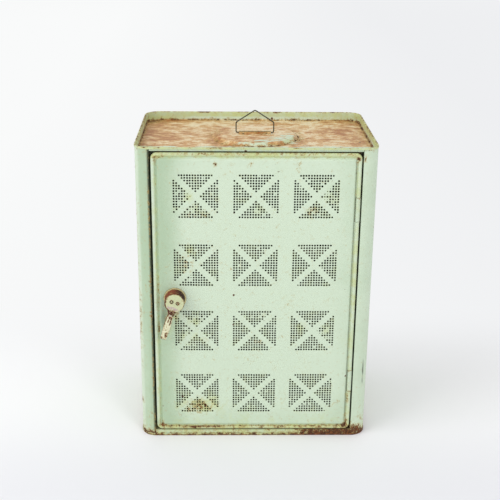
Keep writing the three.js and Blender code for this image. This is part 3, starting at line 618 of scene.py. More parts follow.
def enamel(name, stretch):
    """Old green enamel on sheet steel, sprayed and baked.

    Light has bleached and chalked it in clouds of 70 mm and a mottle of 4 mm, so it is paler
    there; the same value also paints sheen and highlights in as paler enamel. Rust beneath has
    yellowed it along the edges, in patches of 13 mm, and dirt and painted shade lie in its grooves
    and gaps. Where it is worn through, tan primer and thin rust show in streaks of 13 mm with
    flecks of 10 mm and broad changes of 40 mm, stretched as the sheet was wiped.
    """
    node, at, chalk, stain, worn, grime = new_finish(name, "chalk", "stain", "worn", "grime")
    clouds = node(RAMP, node(NOISE, at, 14.0, 5.0, 0.6), 0.3, 0.7)
    mottle = node(RAMP, node(NOISE, at, 240.0, 3.0, 0.6), 0.2, 0.8)
    bleached = node(SUM, mottle, 0.1, node(SUM, clouds, 0.22, chalk))
    green = node(BLEND, node(RAMP, bleached, 0.1, 1.1), colour("enamel"), colour("chalked"))
    patches = node(RAMP, node(NOISE, at, 75.0, 6.0, 0.65), 0.3, 0.7)
    yellowed = node(RAMP, node(SUM, patches, 0.5, stain), 0.35, 1.25)
    coat = node(BLEND, yellowed, green, colour("stain"))

    wiped = node("ShaderNodeMapping", {"Vector": at, "Scale": stretch})
    streaks = node(RAMP, node(NOISE, wiped, 75.0, 9.0, 0.72), 0.25, 0.75)
    bare = node(RAMP, node(SUM, streaks, 0.8, worn), 0.86, 1.14)
    flecks = node(RAMP, node(NOISE, wiped, 96.0, 8.0, 0.8), 0.38, 0.62)
    broad = node(RAMP, node(NOISE, wiped, 24.0, 8.0, 0.66), 0.36, 0.64)
    clean = node(SUM, stain, -0.62, 0.14)
    pale = node(SUM, flecks, 0.62, node(SUM, broad, 0.4, clean))
    tan = node(BLEND, node(RAMP, pale, 0.0, 0.6), colour("primer_dark"), colour("primer"))
    tan = node(BLEND, node(RAMP, pale, 0.5, 0.95), tan, colour("cream"))
    coat = node(BLEND, bare, coat, tan)
    coat = node(BLEND, node(RAMP, grime, 0.2, 1.0), coat, colour("grime"))
    rusting(node, at, coat, colour("rust_dark"), colour("rust"), 0.42)


def lining(name):
    """The dark primer that the inside of the sheets was left in, thin and never polished.

    It is dull and dusty, with clouds of 33 mm, and swallows the light that comes in through the
    holes.
    """
    node, at = new_finish(name)
    clouds = node(RAMP, node(NOISE, at, 30.0, 7.0, 0.7), 0.3, 0.7)
    coat = node(BLEND, clouds, colour("inside"), colour("inside_dark"))
    rusting(node, at, coat, colour("rust_dark"), colour("rust"), 0.75)


def rusted_steel(name):
    """Bare sheet steel under a full coat of rust, with paint left only here and there.

    Dark brown with redder blooms, lighter where it is rubbed, rough and quite without shine.
    """
    node, at, worn = new_finish(name, "worn")
    dark = node(BLEND, worn, colour("crust_dark"), colour("crust_rubbed"))
    light = node(BLEND, worn, colour("crust_red"), colour("rust_red"))
    rusting(node, at, colour("crust"), dark, light, 0.7)


def lever_enamel(name, key):
    """Cream enamel on pressed steel, handled for years.

    It has bleached along the arm, pinkish undercoat shows in patches of 4 mm where fingers rub
    it, and rust has crept in from the edges in blots of under 3 mm.
    """
    node, at, chalk, worn = new_finish(name, "chalk", "worn")
    patches = node(RAMP, node(NOISE, at, 260.0, 7.0, 0.68), 0.3, 0.7)
    rubbed = node(RAMP, node(SUM, patches, 0.45, worn), 0.5, 0.9)
    plain = node(BLEND, chalk, colour(key), colour("lever_bleached"))
    coat = node(BLEND, rubbed, plain, colour("lever_pink"))
    rusting(node, at, coat, colour("lever_rust"), colour("rust_red"), 0.4, 2.2)


def metal(name, key, rough, scale):
    """Steel as wire drawn and darkened, or as hardware plated with zinc and gone dull.

    Its tone is cloudy over 6 to 8 mm, and its shine satin and broken by the same clouds.
    """
    node, at = new_finish(name)
    cloud = node(RAMP, node(NOISE, at, scale, 6.0, 0.65), 0.3, 0.7)
    tone = node(BLEND, node(RAMP, cloud, 0.5, 0.9, 0.0, 0.75), colour(key), colour("tarnish"))
    satin = node(RAMP, cloud, 0.0, 1.0, rough, rough + 0.3)
    bump = node("ShaderNodeBump", {"Height": cloud, "Strength": 0.3, "Distance": 0.0002})
    steel = node(
        "ShaderNodeBsdfPrincipled",
        {"Base Color": tone, "Metallic": 0.7, "Roughness": satin, "Normal": bump}
    )
    node("ShaderNodeOutputMaterial", steel)


def paper(name):
    """The matt paper sweep that the safe stands on.

    Near the safe it is plain paper and takes its shadow, with painted shade that darkens it where
    it comes forward. Further out, what the camera sees is the paper's own tone, with painted shade
    that makes it a little darker to the right, so that the sweep has no horizon.
    """
    node, at = new_finish(name)
    across = node("ShaderNodeSeparateXYZ", at)
    back = across.node.outputs["Y"]
    far = node("ShaderNodeVectorMath", at, operation="LENGTH")
    away = node(LARGER, node(RAMP, far, 0.36, 1.0), node(RAMP, back, 0.02, 0.4))
    seen = node("ShaderNodeLightPath", out="Is Camera Ray")
    rays = node(LARGER, seen, seen.node.outputs["Is Glossy Ray"])
    share = node("ShaderNodeMath", away, rays, operation="MULTIPLY")
    # Painted shade: the glow is darker to the right.
    right = node("ShaderNodeMapRange", across, -0.8, 1.0)
    tone = node(BLEND, right, colour("backdrop"), colour("backdrop_right_shade"))
    tone = node(BLEND, node(RAMP, far, 5.0, 12.0), tone, colour("horizon"))
    # Painted shade: the paper is darker where it comes forward.
    plain = node(BLEND, node(RAMP, back, -0.3, 0.02), colour("stage_front_shade"), colour("stage"))
    sheet = node("ShaderNodeBsdfPrincipled", {"Base Color": plain, "Roughness": 0.9})
    glow = node("ShaderNodeEmission", {"Color": tone, "Strength": 1.0})
    node("ShaderNodeOutputMaterial", node("ShaderNodeMixShader", share, sheet, glow))


# Pieces


def wall_rust(points, s):
    """Rust on the wall: along the hems, at the doorway's left edge and in a few marked places."""
    x, y, z = points.T
    foot = 0.62 * (1 - smooth(z, 4, 9)) + 0.2 * (1 - smooth(z, 9, 50))
    rim = 0.34 * smooth(z, s.rim - 8, s.rim - 2)
    jamb = 0.3 * (1 - smooth(np.abs(x - s.left + 2.8), 0.3, 1.6)) * (y < 12)
    marked = spots(x, z, CASE_MARKS) * (y < 40)
    flank = spots(y, z, FLANK_MARKS) * (np.abs(x) > s.wall_half - 3.1) * (y > 24)
    back = 0.05 * smooth(y, 150, 240)
    return np.maximum.reduce([foot, rim, jamb, marked, flank]) + back


def wall_grime(points, s):
    """Painted shade all down the doorway's returns, behind the face, and dirt in a few scrapes."""
    x, y, z = points.T
    # Painted shade on the doorway's returns, in the gap round the door.
    left = 1 - smooth(s.left - x, 1.7, 3.0)
    right = 1 - smooth(x - s.right, 0.2, 1.1)
    inside = np.where(x < 0, left, right)
    return np.maximum(0.96 * inside, spots(x, z, SCRAPES)) * (y < 12)


SCRAPES = (
    (158, 14, 10, 8, 0.4), (171.8, 116, 0.7, 12, 1.0), (171.4, 98, 0.8, 9, 1.0),
    (171.0, 80, 0.7, 10, 0.95), (172.0, 130, 0.5, 7, 0.7), (170.6, 66, 0.8, 9, 1.0),
    (169.6, 30, 0.9, 3, 0.6)
)


def wall_chalk(points):
    """Painted light on the wall: paler towards its right, a painted highlight on its rounded left
    edge, and paler at its left foot.
    """
    x, y, z = points.T
    edge = smooth(-x, 170, 177)
    low = 0.3 * smooth(-x, 160, 168) * (1 - smooth(z, 120, 330))
    return 0.02 + 0.62 * smooth(x, -60, 150) + np.maximum(edge, low) * (y < 30)


CASE_MARKS = (
    (-159.6, 215, 1.5, 62, 0.74), (-159.8, 268, 1.6, 26, 0.74), (-159.2, 330, 1.3, 20, 0.5),
    (-159.2, 110, 1.4, 46, 0.6), (-159.0, 380, 1.3, 70, 0.42), (-166, 258, 2.2, 2.6, 0.62),
    (-163, 40, 2.2, 3.0, 0.6), (-165, 146, 1.8, 2.4, 0.55), (-177, 60, 3, 3, 0.7),
    (-179, 330, 4, 110, 0.22), (-179, 200, 6, 60, 0.4), (171, 34, 2.5, 4, 0.6),
    (162, 12, 12, 7, 0.9), (-158, 34, 4, 5, 0.5), (158, 462, 2.5, 4, 0.7), (-158, 464, 3, 4, 0.5)
)
FLANK_MARKS = (
    (58, 318, 9, 4, 0.6), (182, 116, 5, 22, 0.55), (118, 36, 40, 12, 0.42),
    (214, 430, 16, 14, 0.5), (96, 404, 3, 3, 0.75), (150, 250, 3, 4, 0.7), (34, 150, 4, 30, 0.45)
)


class PIESAFE_OT_case_wall(bpy.types.Operator):
    """The one-piece wall: stiles, sides and back, with the doorway's returns and lips"""

    bl_idname = "pie_safe.case_wall"
    bl_label = "Case Wall"

    def execute(self, context):
        s = sizes(context.scene.safe_case)
        half, deep, r = s.wall_half, s.wall_depth, s.corner
        bend = 2.0
        plan = [
            (s.left + s.stop_width, s.stop_depth), (s.left, s.stop_depth), (s.left, 0), (-half, 0),
            (-half, deep), (half, deep), (half, 0), (s.right, 0), (s.right, s.stop_depth),
            (s.right - s.stop_width, s.stop_depth)
        ]
        path = rounded(plan, [1, bend, r - bend, r, r, r - bend, bend, 1], 9)
        corner_ends = np.abs(np.diff(path[:, 0])) > 2 * (half - r) - 1
        back = int(np.flatnonzero(corner_ends & (path[:-1, 1] > deep / 2))[0])
        seam_x = np.array([-1.0, -0.86, -0.8, 0.8, 0.86, 1.0]) * s.seam_width / 2
        seam = np.stack([seam_x, np.full(6, deep)], axis=1)
        path = fill(np.concatenate([path[: back + 1], seam, path[back + 1 :]]), 9)
        low_cut, high_cut = s.floor + s.sheet + 0.1, s.head - 0.1
        lines = [s.wall_low, low_cut, 5.5, 5.8, s.rim - 4.3, s.rim - 4.0, s.wall_high]
        lines = fill(sorted(lines + [high_cut]), 9)
        points, faces = drawn(path, lines, "Z")
        x, y, z = points[..., 0], points[..., 1], points[..., 2]
        seam_on = smooth(s.seam_width / 2 - np.abs(x), 0, 0.5) * (y > deep / 2)
        seam_on = seam_on * (z > 5.6) * (z < s.rim - 4.1)
        calm = smooth(z, s.wall_low + 5, 60) * (1 - smooth(z, 410, s.wall_high - 5))
        side = smooth(y, r, 80) * (1 - smooth(y, 170, deep - r)) * (np.abs(x) > half - 1)
        rear = smooth(half - np.abs(x), r, 90) * (y > deep - 1)
        rear = rear * smooth(np.abs(x), 6, 40)
        points[..., 0] += np.sign(x) * side * calm * (dents(y, z, 5, 0.22) - 0.25)
        points[..., 1] += rear * calm * (dents(x, z, 6, 0.22) - 0.25) + s.sheet * seam_on
        quads = faces.reshape(len(path) - 1, len(lines) - 1, 4)
        middle = (path[1:] + path[:-1]) / 2
        behind = (middle[:, 1] > s.sheet + 0.05) & (middle[:, 1] < 10.5)
        behind &= np.abs(middle[:, 0]) < 157.5
        height = (lines[1:] + lines[:-1]) / 2
        notched = (height < low_cut) | (height > high_cut)
        keep = ~(behind[:, None] & notched[None, :])
        piece(
            "case_wall", (points, quads[keep]), "aged enamel", "case", ["wall_wrap"], s.sheet,
            even=False, lining="dark inside primer", rust=lambda p: wall_rust(p, s),
            chalk=wall_chalk,
            stain=lambda p: 0.3 * (1 - smooth(p[:, 2], 10, 60)) + 0.2 * smooth(p[:, 2], 462, 474),
            grime=lambda p: wall_grime(p, s)
        )
        return {"FINISHED"}


def case_ring(s, rows, lines):
    """Rows round the case's outline over its hems, each (inset, height)."""
    rows = np.asarray(rows, float)
    radius = np.clip(s.corner + s.hem_stand - rows[:, 0], 0, None)
    low = (-s.wall_half - s.hem_stand, -s.hem_stand)
    high = (s.wall_half + s.hem_stand, s.wall_depth + s.hem_stand)
    x, y = ring(low, high, rows[:, 0], radius, lines, 10)
    z = np.broadcast_to(rows[:, 1:], x.shape)
    return np.stack([x, y, z], axis=-1)


def tray_edge(points, s):
    """How far inside the recessed top's upright wall a point lies: the wall's rounded outline."""
    across = np.abs(points[:, 0]) - (s.wall_half - s.corner)
    along = np.maximum(s.corner - points[:, 1], points[:, 1] - (s.wall_depth - s.corner))
    corner = np.hypot(np.maximum(across, 0), np.maximum(along, 0))
    radius = s.corner + s.hem_stand - s.hem_width
    return radius - corner - np.minimum(np.maximum(across, along), 0)


def tray_rust(points, s, t):
    """Rust in the recessed top: its corners, round the boss's foot and along its chipped rim.

    At the boss's foot it is heavier at the front right, as painted shade.
    """
    x, y, z = points.T
    edge = tray_edge(points, s)
    floor = (edge > 2) & (z < 468)
    foot = 0.4 * (1 - smooth(edge, 1, 6)) * (y > 30)
    away = np.hypot(x, y - t.setback)
    # Rust round the boss's foot, heavier at its front right as painted shade.
    way = np.clip((x - (y - t.setback)) / 96, -0.3, 1)
    foot_rust_and_shade = np.exp(-(((away - t.base - 0.2) / 1.9) ** 2)) * (0.44 + 0.2 * way)
    marks = np.maximum(foot_rust_and_shade, spots(x, y, TRAY_MARKS))
    inner = 0.42 * (1 - smooth(z, 462.5, 466)) + 0.1 * (1 - smooth(z, 466, 472))
    inner = inner * (y > 3) + 0.12 * (np.abs(x) > 172) * (z < 473)
    inner = np.maximum(inner, 0.85 * spots(x, z, REAR_MARKS) * (y > 230))
    edges = np.where(y > 6, 0.44, 0.24) * smooth(z, s.rim - 1.6, s.rim - 0.4)
    crest = np.maximum(edges, 0.66 * spots(x, y, RIM_MARKS) * (z > s.rim - 2.6))
    return np.where(floor, np.maximum(foot, marks), np.maximum(inner, crest))


def tray_stain(points, t):
    """Dirt that browns the recessed top: its left, its rear corners and the boss's left.

    Painted shade browns the front right of the boss's slope.
    """
    x, y, z = points.T
    rear = smooth(y, 196, 240) * smooth(np.abs(x), 60, 150)
    left = 0.62 * (1 - smooth(x, -170, -104)) + 0.5 * rear
    right = 0.5 * smooth(x, 96, 168) * smooth(y, 30, 130)
    patches = np.maximum(spots(x, y, BROWN_PATCHES), 0.5 * spots(x, y, KEPT_PAINT))
    away = np.hypot(x, y - t.setback)
    # Painted shade on the front right of the boss's slope.
    band = 0.6 * smooth(away, 58, 63) * (1 - smooth(away, 67, 69)) * (x > 34) * (y < 120)
    floor = np.maximum.reduce([left, right, patches, band])
    return np.where(z > 466.9, 0.66 + 0.25 * (x > 170), floor)


BROWN_PATCHES = (
    (-62, 116, 13, 46, 0.9), (-48, 74, 18, 12, 0.66), (-140, 110, 26, 50, 0.45),
    (-96, 150, 26, 20, 0.45), (-20, 150, 50, 10, 0.2), (80, 128, 20, 40, 0.3),
    (140, 40, 30, 14, 0.65), (150, 150, 24, 60, 0.72), (108, 104, 28, 40, 0.34),
    (66, 92, 6, 34, 0.9)
)
TRAY_MARKS = (
    (-168, 232, 20, 20, 0.62), (-174, 40, 6, 26, 0.5), (168, 236, 16, 12, 0.5),
    (170, 18, 12, 10, 0.62), (-60, 242, 40, 4, 0.4), (60, 242, 30, 4, 0.4),
    (-60, 128, 12, 40, 0.26), (-36, 57, 18, 3, 0.6), (90, 57, 10, 3, 0.5)
)
REAR_MARKS = ((-128, 459, 13, 5, 1.0),)
RIM_MARKS = (
    (-164, 1, 6, 8, 1.0), (-150, 1, 5, 8, 0.9), (-60, 1, 14, 8, 0.9), (58, 1, 8, 8, 0.9),
    (-178, 200, 8, 44, 0.9), (178, 120, 8, 60, 0.8), (-80, 246, 20, 6, 0.9), (40, 246, 16, 6, 0.9),
    (120, 246, 16, 6, 0.8)
)


class PIESAFE_OT_pans(bpy.types.Operator):
    """The recessed top with its boss, and the foot pan, both hemmed over the wall's edges"""

    bl_idname = "pie_safe.pans"
    bl_label = "Top and Foot Pans"

    def top(self, s, t):
        """The top as one sheet worked inwards: hem, rim, inner wall, floor, boss, pole.

        From the floor's edge, drawn in until it runs straight behind the front ledge, a point is
        (1 - t) of its place there and t of the point of the boss's base circle that lies the
        same way from the boss's middle.
        """
        notch, step = (s.left - s.sheet - 0.1, s.right + s.sheet + 0.1), 1.5
        xs = fill([notch[0], notch[0] + step, notch[1] - step, notch[1]], 9)
        ys = fill([24, 222], 9)
        wall = rounded(
            [
                (0, s.rim - s.top_hem), (0, s.rim), (s.hem_width, s.rim), (s.hem_width, s.tray),
                (s.hem_width + 6, s.tray)
            ],
            [1.0, 1.0, 1.4], 4
        )
        wall = fill(wall, 3.0)
        points = case_ring(s, wall, (xs, ys))
        x, y, z = points[..., 0], points[..., 1], points[..., 2]
        inner = (wall[:, 0] >= s.hem_width - 1e-6)[:, None]
        front = (x > notch[0] + step / 2) & (x < notch[1] - step / 2) & (y < 20)
        ledge = s.head + 2 * s.sheet + 0.1
        shelf = 12.6
        floor_row = (wall[:, 0] > s.hem_width + 1.2)[:, None]
        stepped = front & inner & (z < ledge + 1.2)
        fall = np.clip((ledge + 1.2 - z) / (ledge + 1.2 - s.tray), 0, 1)
        fall_y = s.hem_width - s.hem_stand + np.minimum(fall / 0.3, 1) * (shelf - 1.7)
        fall_z = np.where(fall < 0.3, ledge, ledge - (fall - 0.3) / 0.7 * (ledge - s.tray))
        points[..., 2] = np.where(stepped & ~floor_row, fall_z, z)
        shift = np.where(stepped & ~floor_row, fall_y, y)
        points[..., 1] = np.where(front & floor_row, y + shelf - 1.7, shift)

        edge = points[-1, :, :2]
        centre = np.array([0, t.setback])
        past = edge[front[-1], 1].max() + 1.0
        edge = centre + 0.988 * (edge - centre)
        edge[:, 1] = np.maximum(edge[:, 1], past)
        away = edge - centre
        away /= np.linalg.norm(away, axis=1, keepdims=True)
        base = centre + away * (t.base + 1.5)
        share = np.array([0, 0.12, 0.28, 0.46, 0.64, 0.82])[:, None, None]
        floor = (1 - share) * edge + share * base
        slope = rounded(
            [
                (t.base + 1.5, s.tray), (t.base, s.tray), (t.top, s.tray + t.rise),
                (t.top - 6, s.tray + t.rise)
            ],
            [3.0, 3.0], 5
        )
        flat = [(50, s.tray + t.rise), (38, s.tray + t.rise), (26, s.tray + t.rise)]
        flat += [(14, s.tray + t.rise), (0, s.tray + t.rise)]
        turned = np.concatenate([slope, flat])
        boss = centre + away * turned[:, :1, None]
        floor = np.concatenate([floor, np.full((*floor.shape[:2], 1), s.tray)], axis=2)
        heights = np.broadcast_to(turned[:, 1:, None], (*boss.shape[:2], 1))
        boss = np.concatenate([boss, heights], axis=2)
        points = np.concatenate([points, floor, boss])
        x, y, z = points[..., 0], points[..., 1], points[..., 2]
        stand = s.hem_stand - s.hem_width
        sides, rear = s.wall_half + stand - np.abs(x), s.wall_depth + stand - y
        depth = np.minimum.reduce([sides, rear, y - shelf])
        calm = smooth(depth, 2, 26) * smooth(np.hypot(x, y - t.setback), 40, 64)
        points[..., 2] += calm * dents(x, y, 8, 0.45)
        return points, grid(*points.shape[:2], False, True)

    def foot(self, s):
        """The foot pan as one sheet worked inwards: hem, foot, inner leg, then the floor.

        Its rows draw in evenly until the two long sides meet along the middle.
        """
        xs, ys = fill([-150, 150], 25), fill([24, 222], 25)
        edge = rounded(
            [(0, s.foot_hem), (0, 0), (s.hem_width, 0), (s.hem_width, s.floor), (8, s.floor)],
            [1.0, 1.0, 1.0], 4
        )
        middle = s.wall_depth / 2 + s.hem_stand
        inward = [(inset, s.floor) for inset in (30, 55, 80, 105, middle)]
        points = case_ring(s, np.concatenate([edge, inward]), (xs, ys))
        return points, turned_over(grid(*points.shape[:2], False, True))

    def execute(self, context):
        s, t = sizes(context.scene.safe_case), sizes(context.scene.safe_top)
        piece(
            "top_tray", self.top(s, t), "worn tray enamel", "case", ["top_pan"], s.sheet,
            even=False, lining="dark inside primer", rust=lambda p: tray_rust(p, s, t),
            chalk=tray_chalk, stain=lambda p: tray_stain(p, t), worn=lambda p: tray_wear(p, s, t)
        )
        piece(
            "foot_pan", self.foot(s), "aged enamel", "case", ["bottom_pan"], s.sheet,
            slot="rusty_steel", rust=foot_rust, stain=0.6
        )
        return {"FINISHED"}


def tray_chalk(points):
    """Bleaching of the top: most on its floor, less on its rim, least on the front ledge."""
    x, y, z = points.T
    ledge = smooth(z, 469, 472) * (1 - smooth(y, 15, 19)) * (np.abs(x) < 150)
    return 0.95 - 0.4 * smooth(z, 466.9, 467.5) - 0.35 * ledge


def foot_rust(points):
    """Rust on the foot: a dark line round it at half height, and more at the right."""
    x, y, z = points.T
    line = smooth(z, 0.3, 1.3) * (1 - smooth(z, 3.0, 4.0))
    return 0.36 + 0.5 * line + 0.4 * smooth(x, 56, 92)


def tray_wear(points, s, t):
    """How far the top's enamel is worn to its primer: most of the floor, little of the rim.

    Patches in front of the boss and at the left front have kept their paint.
    """
    x, y, z = points.T
    wall = smooth(z, s.tray + 0.5, s.tray + 2.0) * (1 - smooth(tray_edge(points, s), 1.5, 4.0))
    floor = 1 - np.maximum(wall, smooth(z, s.tray + t.rise + 0.3, s.tray + t.rise + 1.2))
    kept = np.maximum(spots(x, y, KEPT_PAINT), 0.62 * (1 - smooth(y, 58, 70)))
    return floor * (1.0 - kept) + 0.08 * (1 - floor)


KEPT_PAINT = (
    (42, 88, 22, 12, 0.66), (52, 104, 12, 20, 0.7), (44, 112, 20, 14, 0.5), (6, 80, 26, 8, 0.6),
    (10, 66, 30, 6, 0.6), (24, 96, 22, 6, 0.5), (-20, 70, 16, 5, 0.4), (-110, 34, 40, 6, 0.34),
    (-30, 30, 44, 5, 0.36), (70, 44, 40, 5, 0.34), (130, 26, 34, 5, 0.5)
)


class PIESAFE_OT_rails(bpy.types.Operator):
    """The strips that close the doorway above and below, each folded back to a stop lip"""

    bl_idname = "pie_safe.rails"
    bl_label = "Rails"

    def execute(self, context):
        s = sizes(context.scene.safe_case)
        ends = (s.left + 0.1, s.right - 0.1)
        lips = (s.left + s.stop_width + 0.1, s.right - s.stop_width - 0.1)
        lines = fill([ends[0], lips[0], lips[1], ends[1]], 9)
        middle = (lines[1:] + lines[:-1]) / 2
        outside = (middle < lips[0]) | (middle > lips[1])
        # The last number of each is how dark the rail is drawn behind the face: painted shade in the
        # doorway's gap.
        rails = {
            "top_rail": (s.wall_high, s.head, s.head - s.stop_width, 1, head_rust, 0.25, 0.95),
            "bottom_rail": (s.wall_low, s.sill, s.sill + s.stop_width, -1, sill_rust, 0.6, 0.6)
        }
        for node, (start, bend, lip, way, rust, stain, most) in rails.items():
            path = [(0, start), (0, bend), (s.stop_depth, bend), (s.stop_depth, lip)]
            path = fill(rounded(path, [2.2 if way > 0 else 1.2, 0.9], 6), 3)
            points, faces = drawn(path, lines, "X")
            quads = faces.reshape(len(path) - 1, len(lines) - 1, 4)
            past = (path[1:, 1] + path[:-1, 1]) / 2
            is_lip = (bend - past) * way > 1.2
            is_lip &= (path[1:, 0] + path[:-1, 0]) / 2 > s.stop_depth / 2
            quads = quads[~(is_lip[:, None] & outside[None, :])]
            if way > 0:
                quads = turned_over(quads)
            piece(
                node.replace("rail", "strip"), (points, quads), "aged enamel", "case", [node],
                s.sheet, rust=rust, chalk=0.55, stain=stain,
                grime=lambda p: most * smooth(p[:, 1], 0.5, 1.9)
            )
        return {"FINISHED"}


def head_rust(points):
    """Rust on the upper rail: spots along its crest."""
    x, y, z = points.T
    return smooth(z, 471, 474.5) * spots(x, z, RAIL_MARKS) + 0.06


def sill_rust(points):
    """Rust on the lower rail: all along it, most at its foot and at the right."""
    x, y, z = points.T
    return 0.26 + 0.4 * (1 - smooth(z, 4, 6.0)) + 0.5 * smooth(x, 56, 92)


RAIL_MARKS = (
    (-150, 475, 7, 4, 0.8), (-60, 475, 13, 3, 0.7), (-38, 475, 6, 3, 0.7), (56, 475, 8, 3, 0.8),
    (110, 475, 10, 3, 0.5)
)


def door_inset(points, d):
    """How far a point lies inside the door's outline."""
    x, y, z = points.T
    return np.minimum.reduce([x - d.left, d.right - x, z - d.low, d.high - z])


def door_rust(points, d):
    """Rust on the door: its lower valley, its corners, its bead in places, and by the latch."""
    x, y, z = points.T
    inset = door_inset(points, d)
    low = 1 - smooth(z, 19, 24)
    deep = inset + 1.4 * low
    valley = smooth(deep, 5.2, 6.4) * (1 - smooth(deep, 7.6, 9.0))
    edges = valley * (0.12 + 0.36 * low)
    bead = 0.34 * (1 - smooth(inset, 4, 6)) * (1 - smooth(z, 17, 20))
    top = 0.3 * smooth(z, 462, 466)
    return np.maximum.reduce([edges, bead + top, spots(x, z, DOOR_MARKS)])


def door_stain(points, d):
    """Yellowing on the door: its upper and lower beads, its lower edge and round some holes."""
    x, y, z = points.T
    inset = door_inset(points, d)
    ends = np.minimum(z - d.low, d.high - z)
    bead = 0.46 * (1 - smooth(ends, 6, 11)) + 0.26 * (1 - smooth(inset, 6, 9))
    bead += 0.2 * (x < -140) * (inset > 4) * (inset < 9) + 0.22 * (x > 140) * (inset < 9)
    low = 0.22 * (1 - smooth(z, 24, 60))
    return np.maximum.reduce([bead, low, spots(x, z, STAIN_MARKS), 0.6 * spots(x, z, CLOGS)])


def door_grime(points, d):
    """Painted shade on the door: its flange, its edges at the gaps and its valleys, most of all at
    the hinge side; the lever's painted shadow; and dirt under it.
    """
    x, y, z = points.T
    from_left, from_right = x - d.left, d.right - x
    # Painted shade in the valleys beside the bead, darker at the hinge side.
    right = np.exp(-(((from_right - 7.9) / 1.5) ** 2))
    right *= 0.68 * smooth(z, 18, 26) * (1 - smooth(z, 456, 462))
    left = 0.36 * np.exp(-(((from_left - 7.6) / 1.3) ** 2)) * (z > 20) * (z < 460)
    # Painted shade on the flange and at the door's edges, in the gaps round it.
    flange = 0.95 * smooth(y, 1.0, 2.8) * (door_inset(points, d) < 3)
    free_gap_shade = 0.95 * (1 - smooth(from_left, 0.1, 1.0))
    hinge_gap_shade = 0.57 * (1 - smooth(from_right, 0.1, 0.9))
    # The lever's painted shadow to its left, and some dirt.
    lever_shadow_and_dirt = spots(x, z, LEVER_SHADOW_AND_DIRT_MARKS)
    return np.maximum.reduce([right, left, lever_shadow_and_dirt, free_gap_shade, hinge_gap_shade, flange])


# The first two are the lever's painted shadow on the door, the others dirt.
LEVER_SHADOW_AND_DIRT_MARKS = (
    (-140, 208, 8, 26, 0.52), (-136, 188, 7, 14, 0.44), (-90, 56, 24, 10, 0.42),
    (129, 126, 0.6, 26, 0.5)
)
# The mark at (-136, 214) beside the lever is its painted shadow, drawn as rust.
DOOR_MARKS = (
    (-147, 19, 7, 4, 0.72), (-146, 24, 3, 5, 0.5), (146, 19, 6, 5, 0.8), (147, 30, 2.4, 9, 0.6),
    (120, 17, 30, 4, 0.4), (-148, 461, 5, 4, 0.62), (-140, 466, 4, 3, 0.5), (148, 460, 4, 6, 0.66),
    (143, 465, 5, 3, 0.5), (-147.5, 246, 2.4, 40, 0.4), (-147.5, 190, 2.2, 12, 0.5),
    (-136, 214, 7, 22, 0.24), (-120, 212, 8, 9, 0.3), (40, 466, 40, 3, 0.3),
    (-80, 466, 60, 3, 0.36), (148, 66, 2.6, 14, 0.4), (-90, 54, 26, 12, 0.48),
    (-84, 16.4, 74, 3.0, 0.6), (128, 59, 3, 5, 0.44), (-61, 452, 4, 3, 0.62),
    (-38, 452, 3, 2.4, 0.6), (-8, 453, 4, 2.4, 0.56), (-99, 450, 2.4, 2.4, 0.6),
    (-84, 376, 18, 8, 0.24), (84, 380, 18, 8, 0.22), (-104, 296, 12, 16, 0.26),
    (61, 452, 4, 12, 0.4), (47, 232, 6, 4, 0.4), (47, 176, 7, 3, 0.36), (4, 168, 7, 3, 0.36),
    (-36, 290, 2, 2.4, 0.62)
)
CLOGS = (
    (-100, 402, 9, 12, 0.7), (-84, 381, 12, 7, 0.5), (14, 382, 12, 6, 0.4),
    (106, 402, 10, 12, 0.6), (80, 382, 9, 6, 0.4), (-92, 202, 13, 9, 0.6), (-106, 180, 8, 11, 0.5),
    (16, 208, 8, 7, 0.5), (108, 184, 8, 15, 0.5), (-104, 280, 8, 9, 0.4), (-88, 52, 22, 11, 0.5),
    (-64, 66, 8, 8, 0.5)
)
STAIN_MARKS = (
    (-128, 212, 16, 30, 0.42), (-100, 318, 12, 12, 0.4), (-84, 56, 32, 14, 0.75),
    (70, 190, 16, 14, 0.28), (92, 382, 14, 12, 0.24), (-92, 176, 24, 14, 0.3)
)


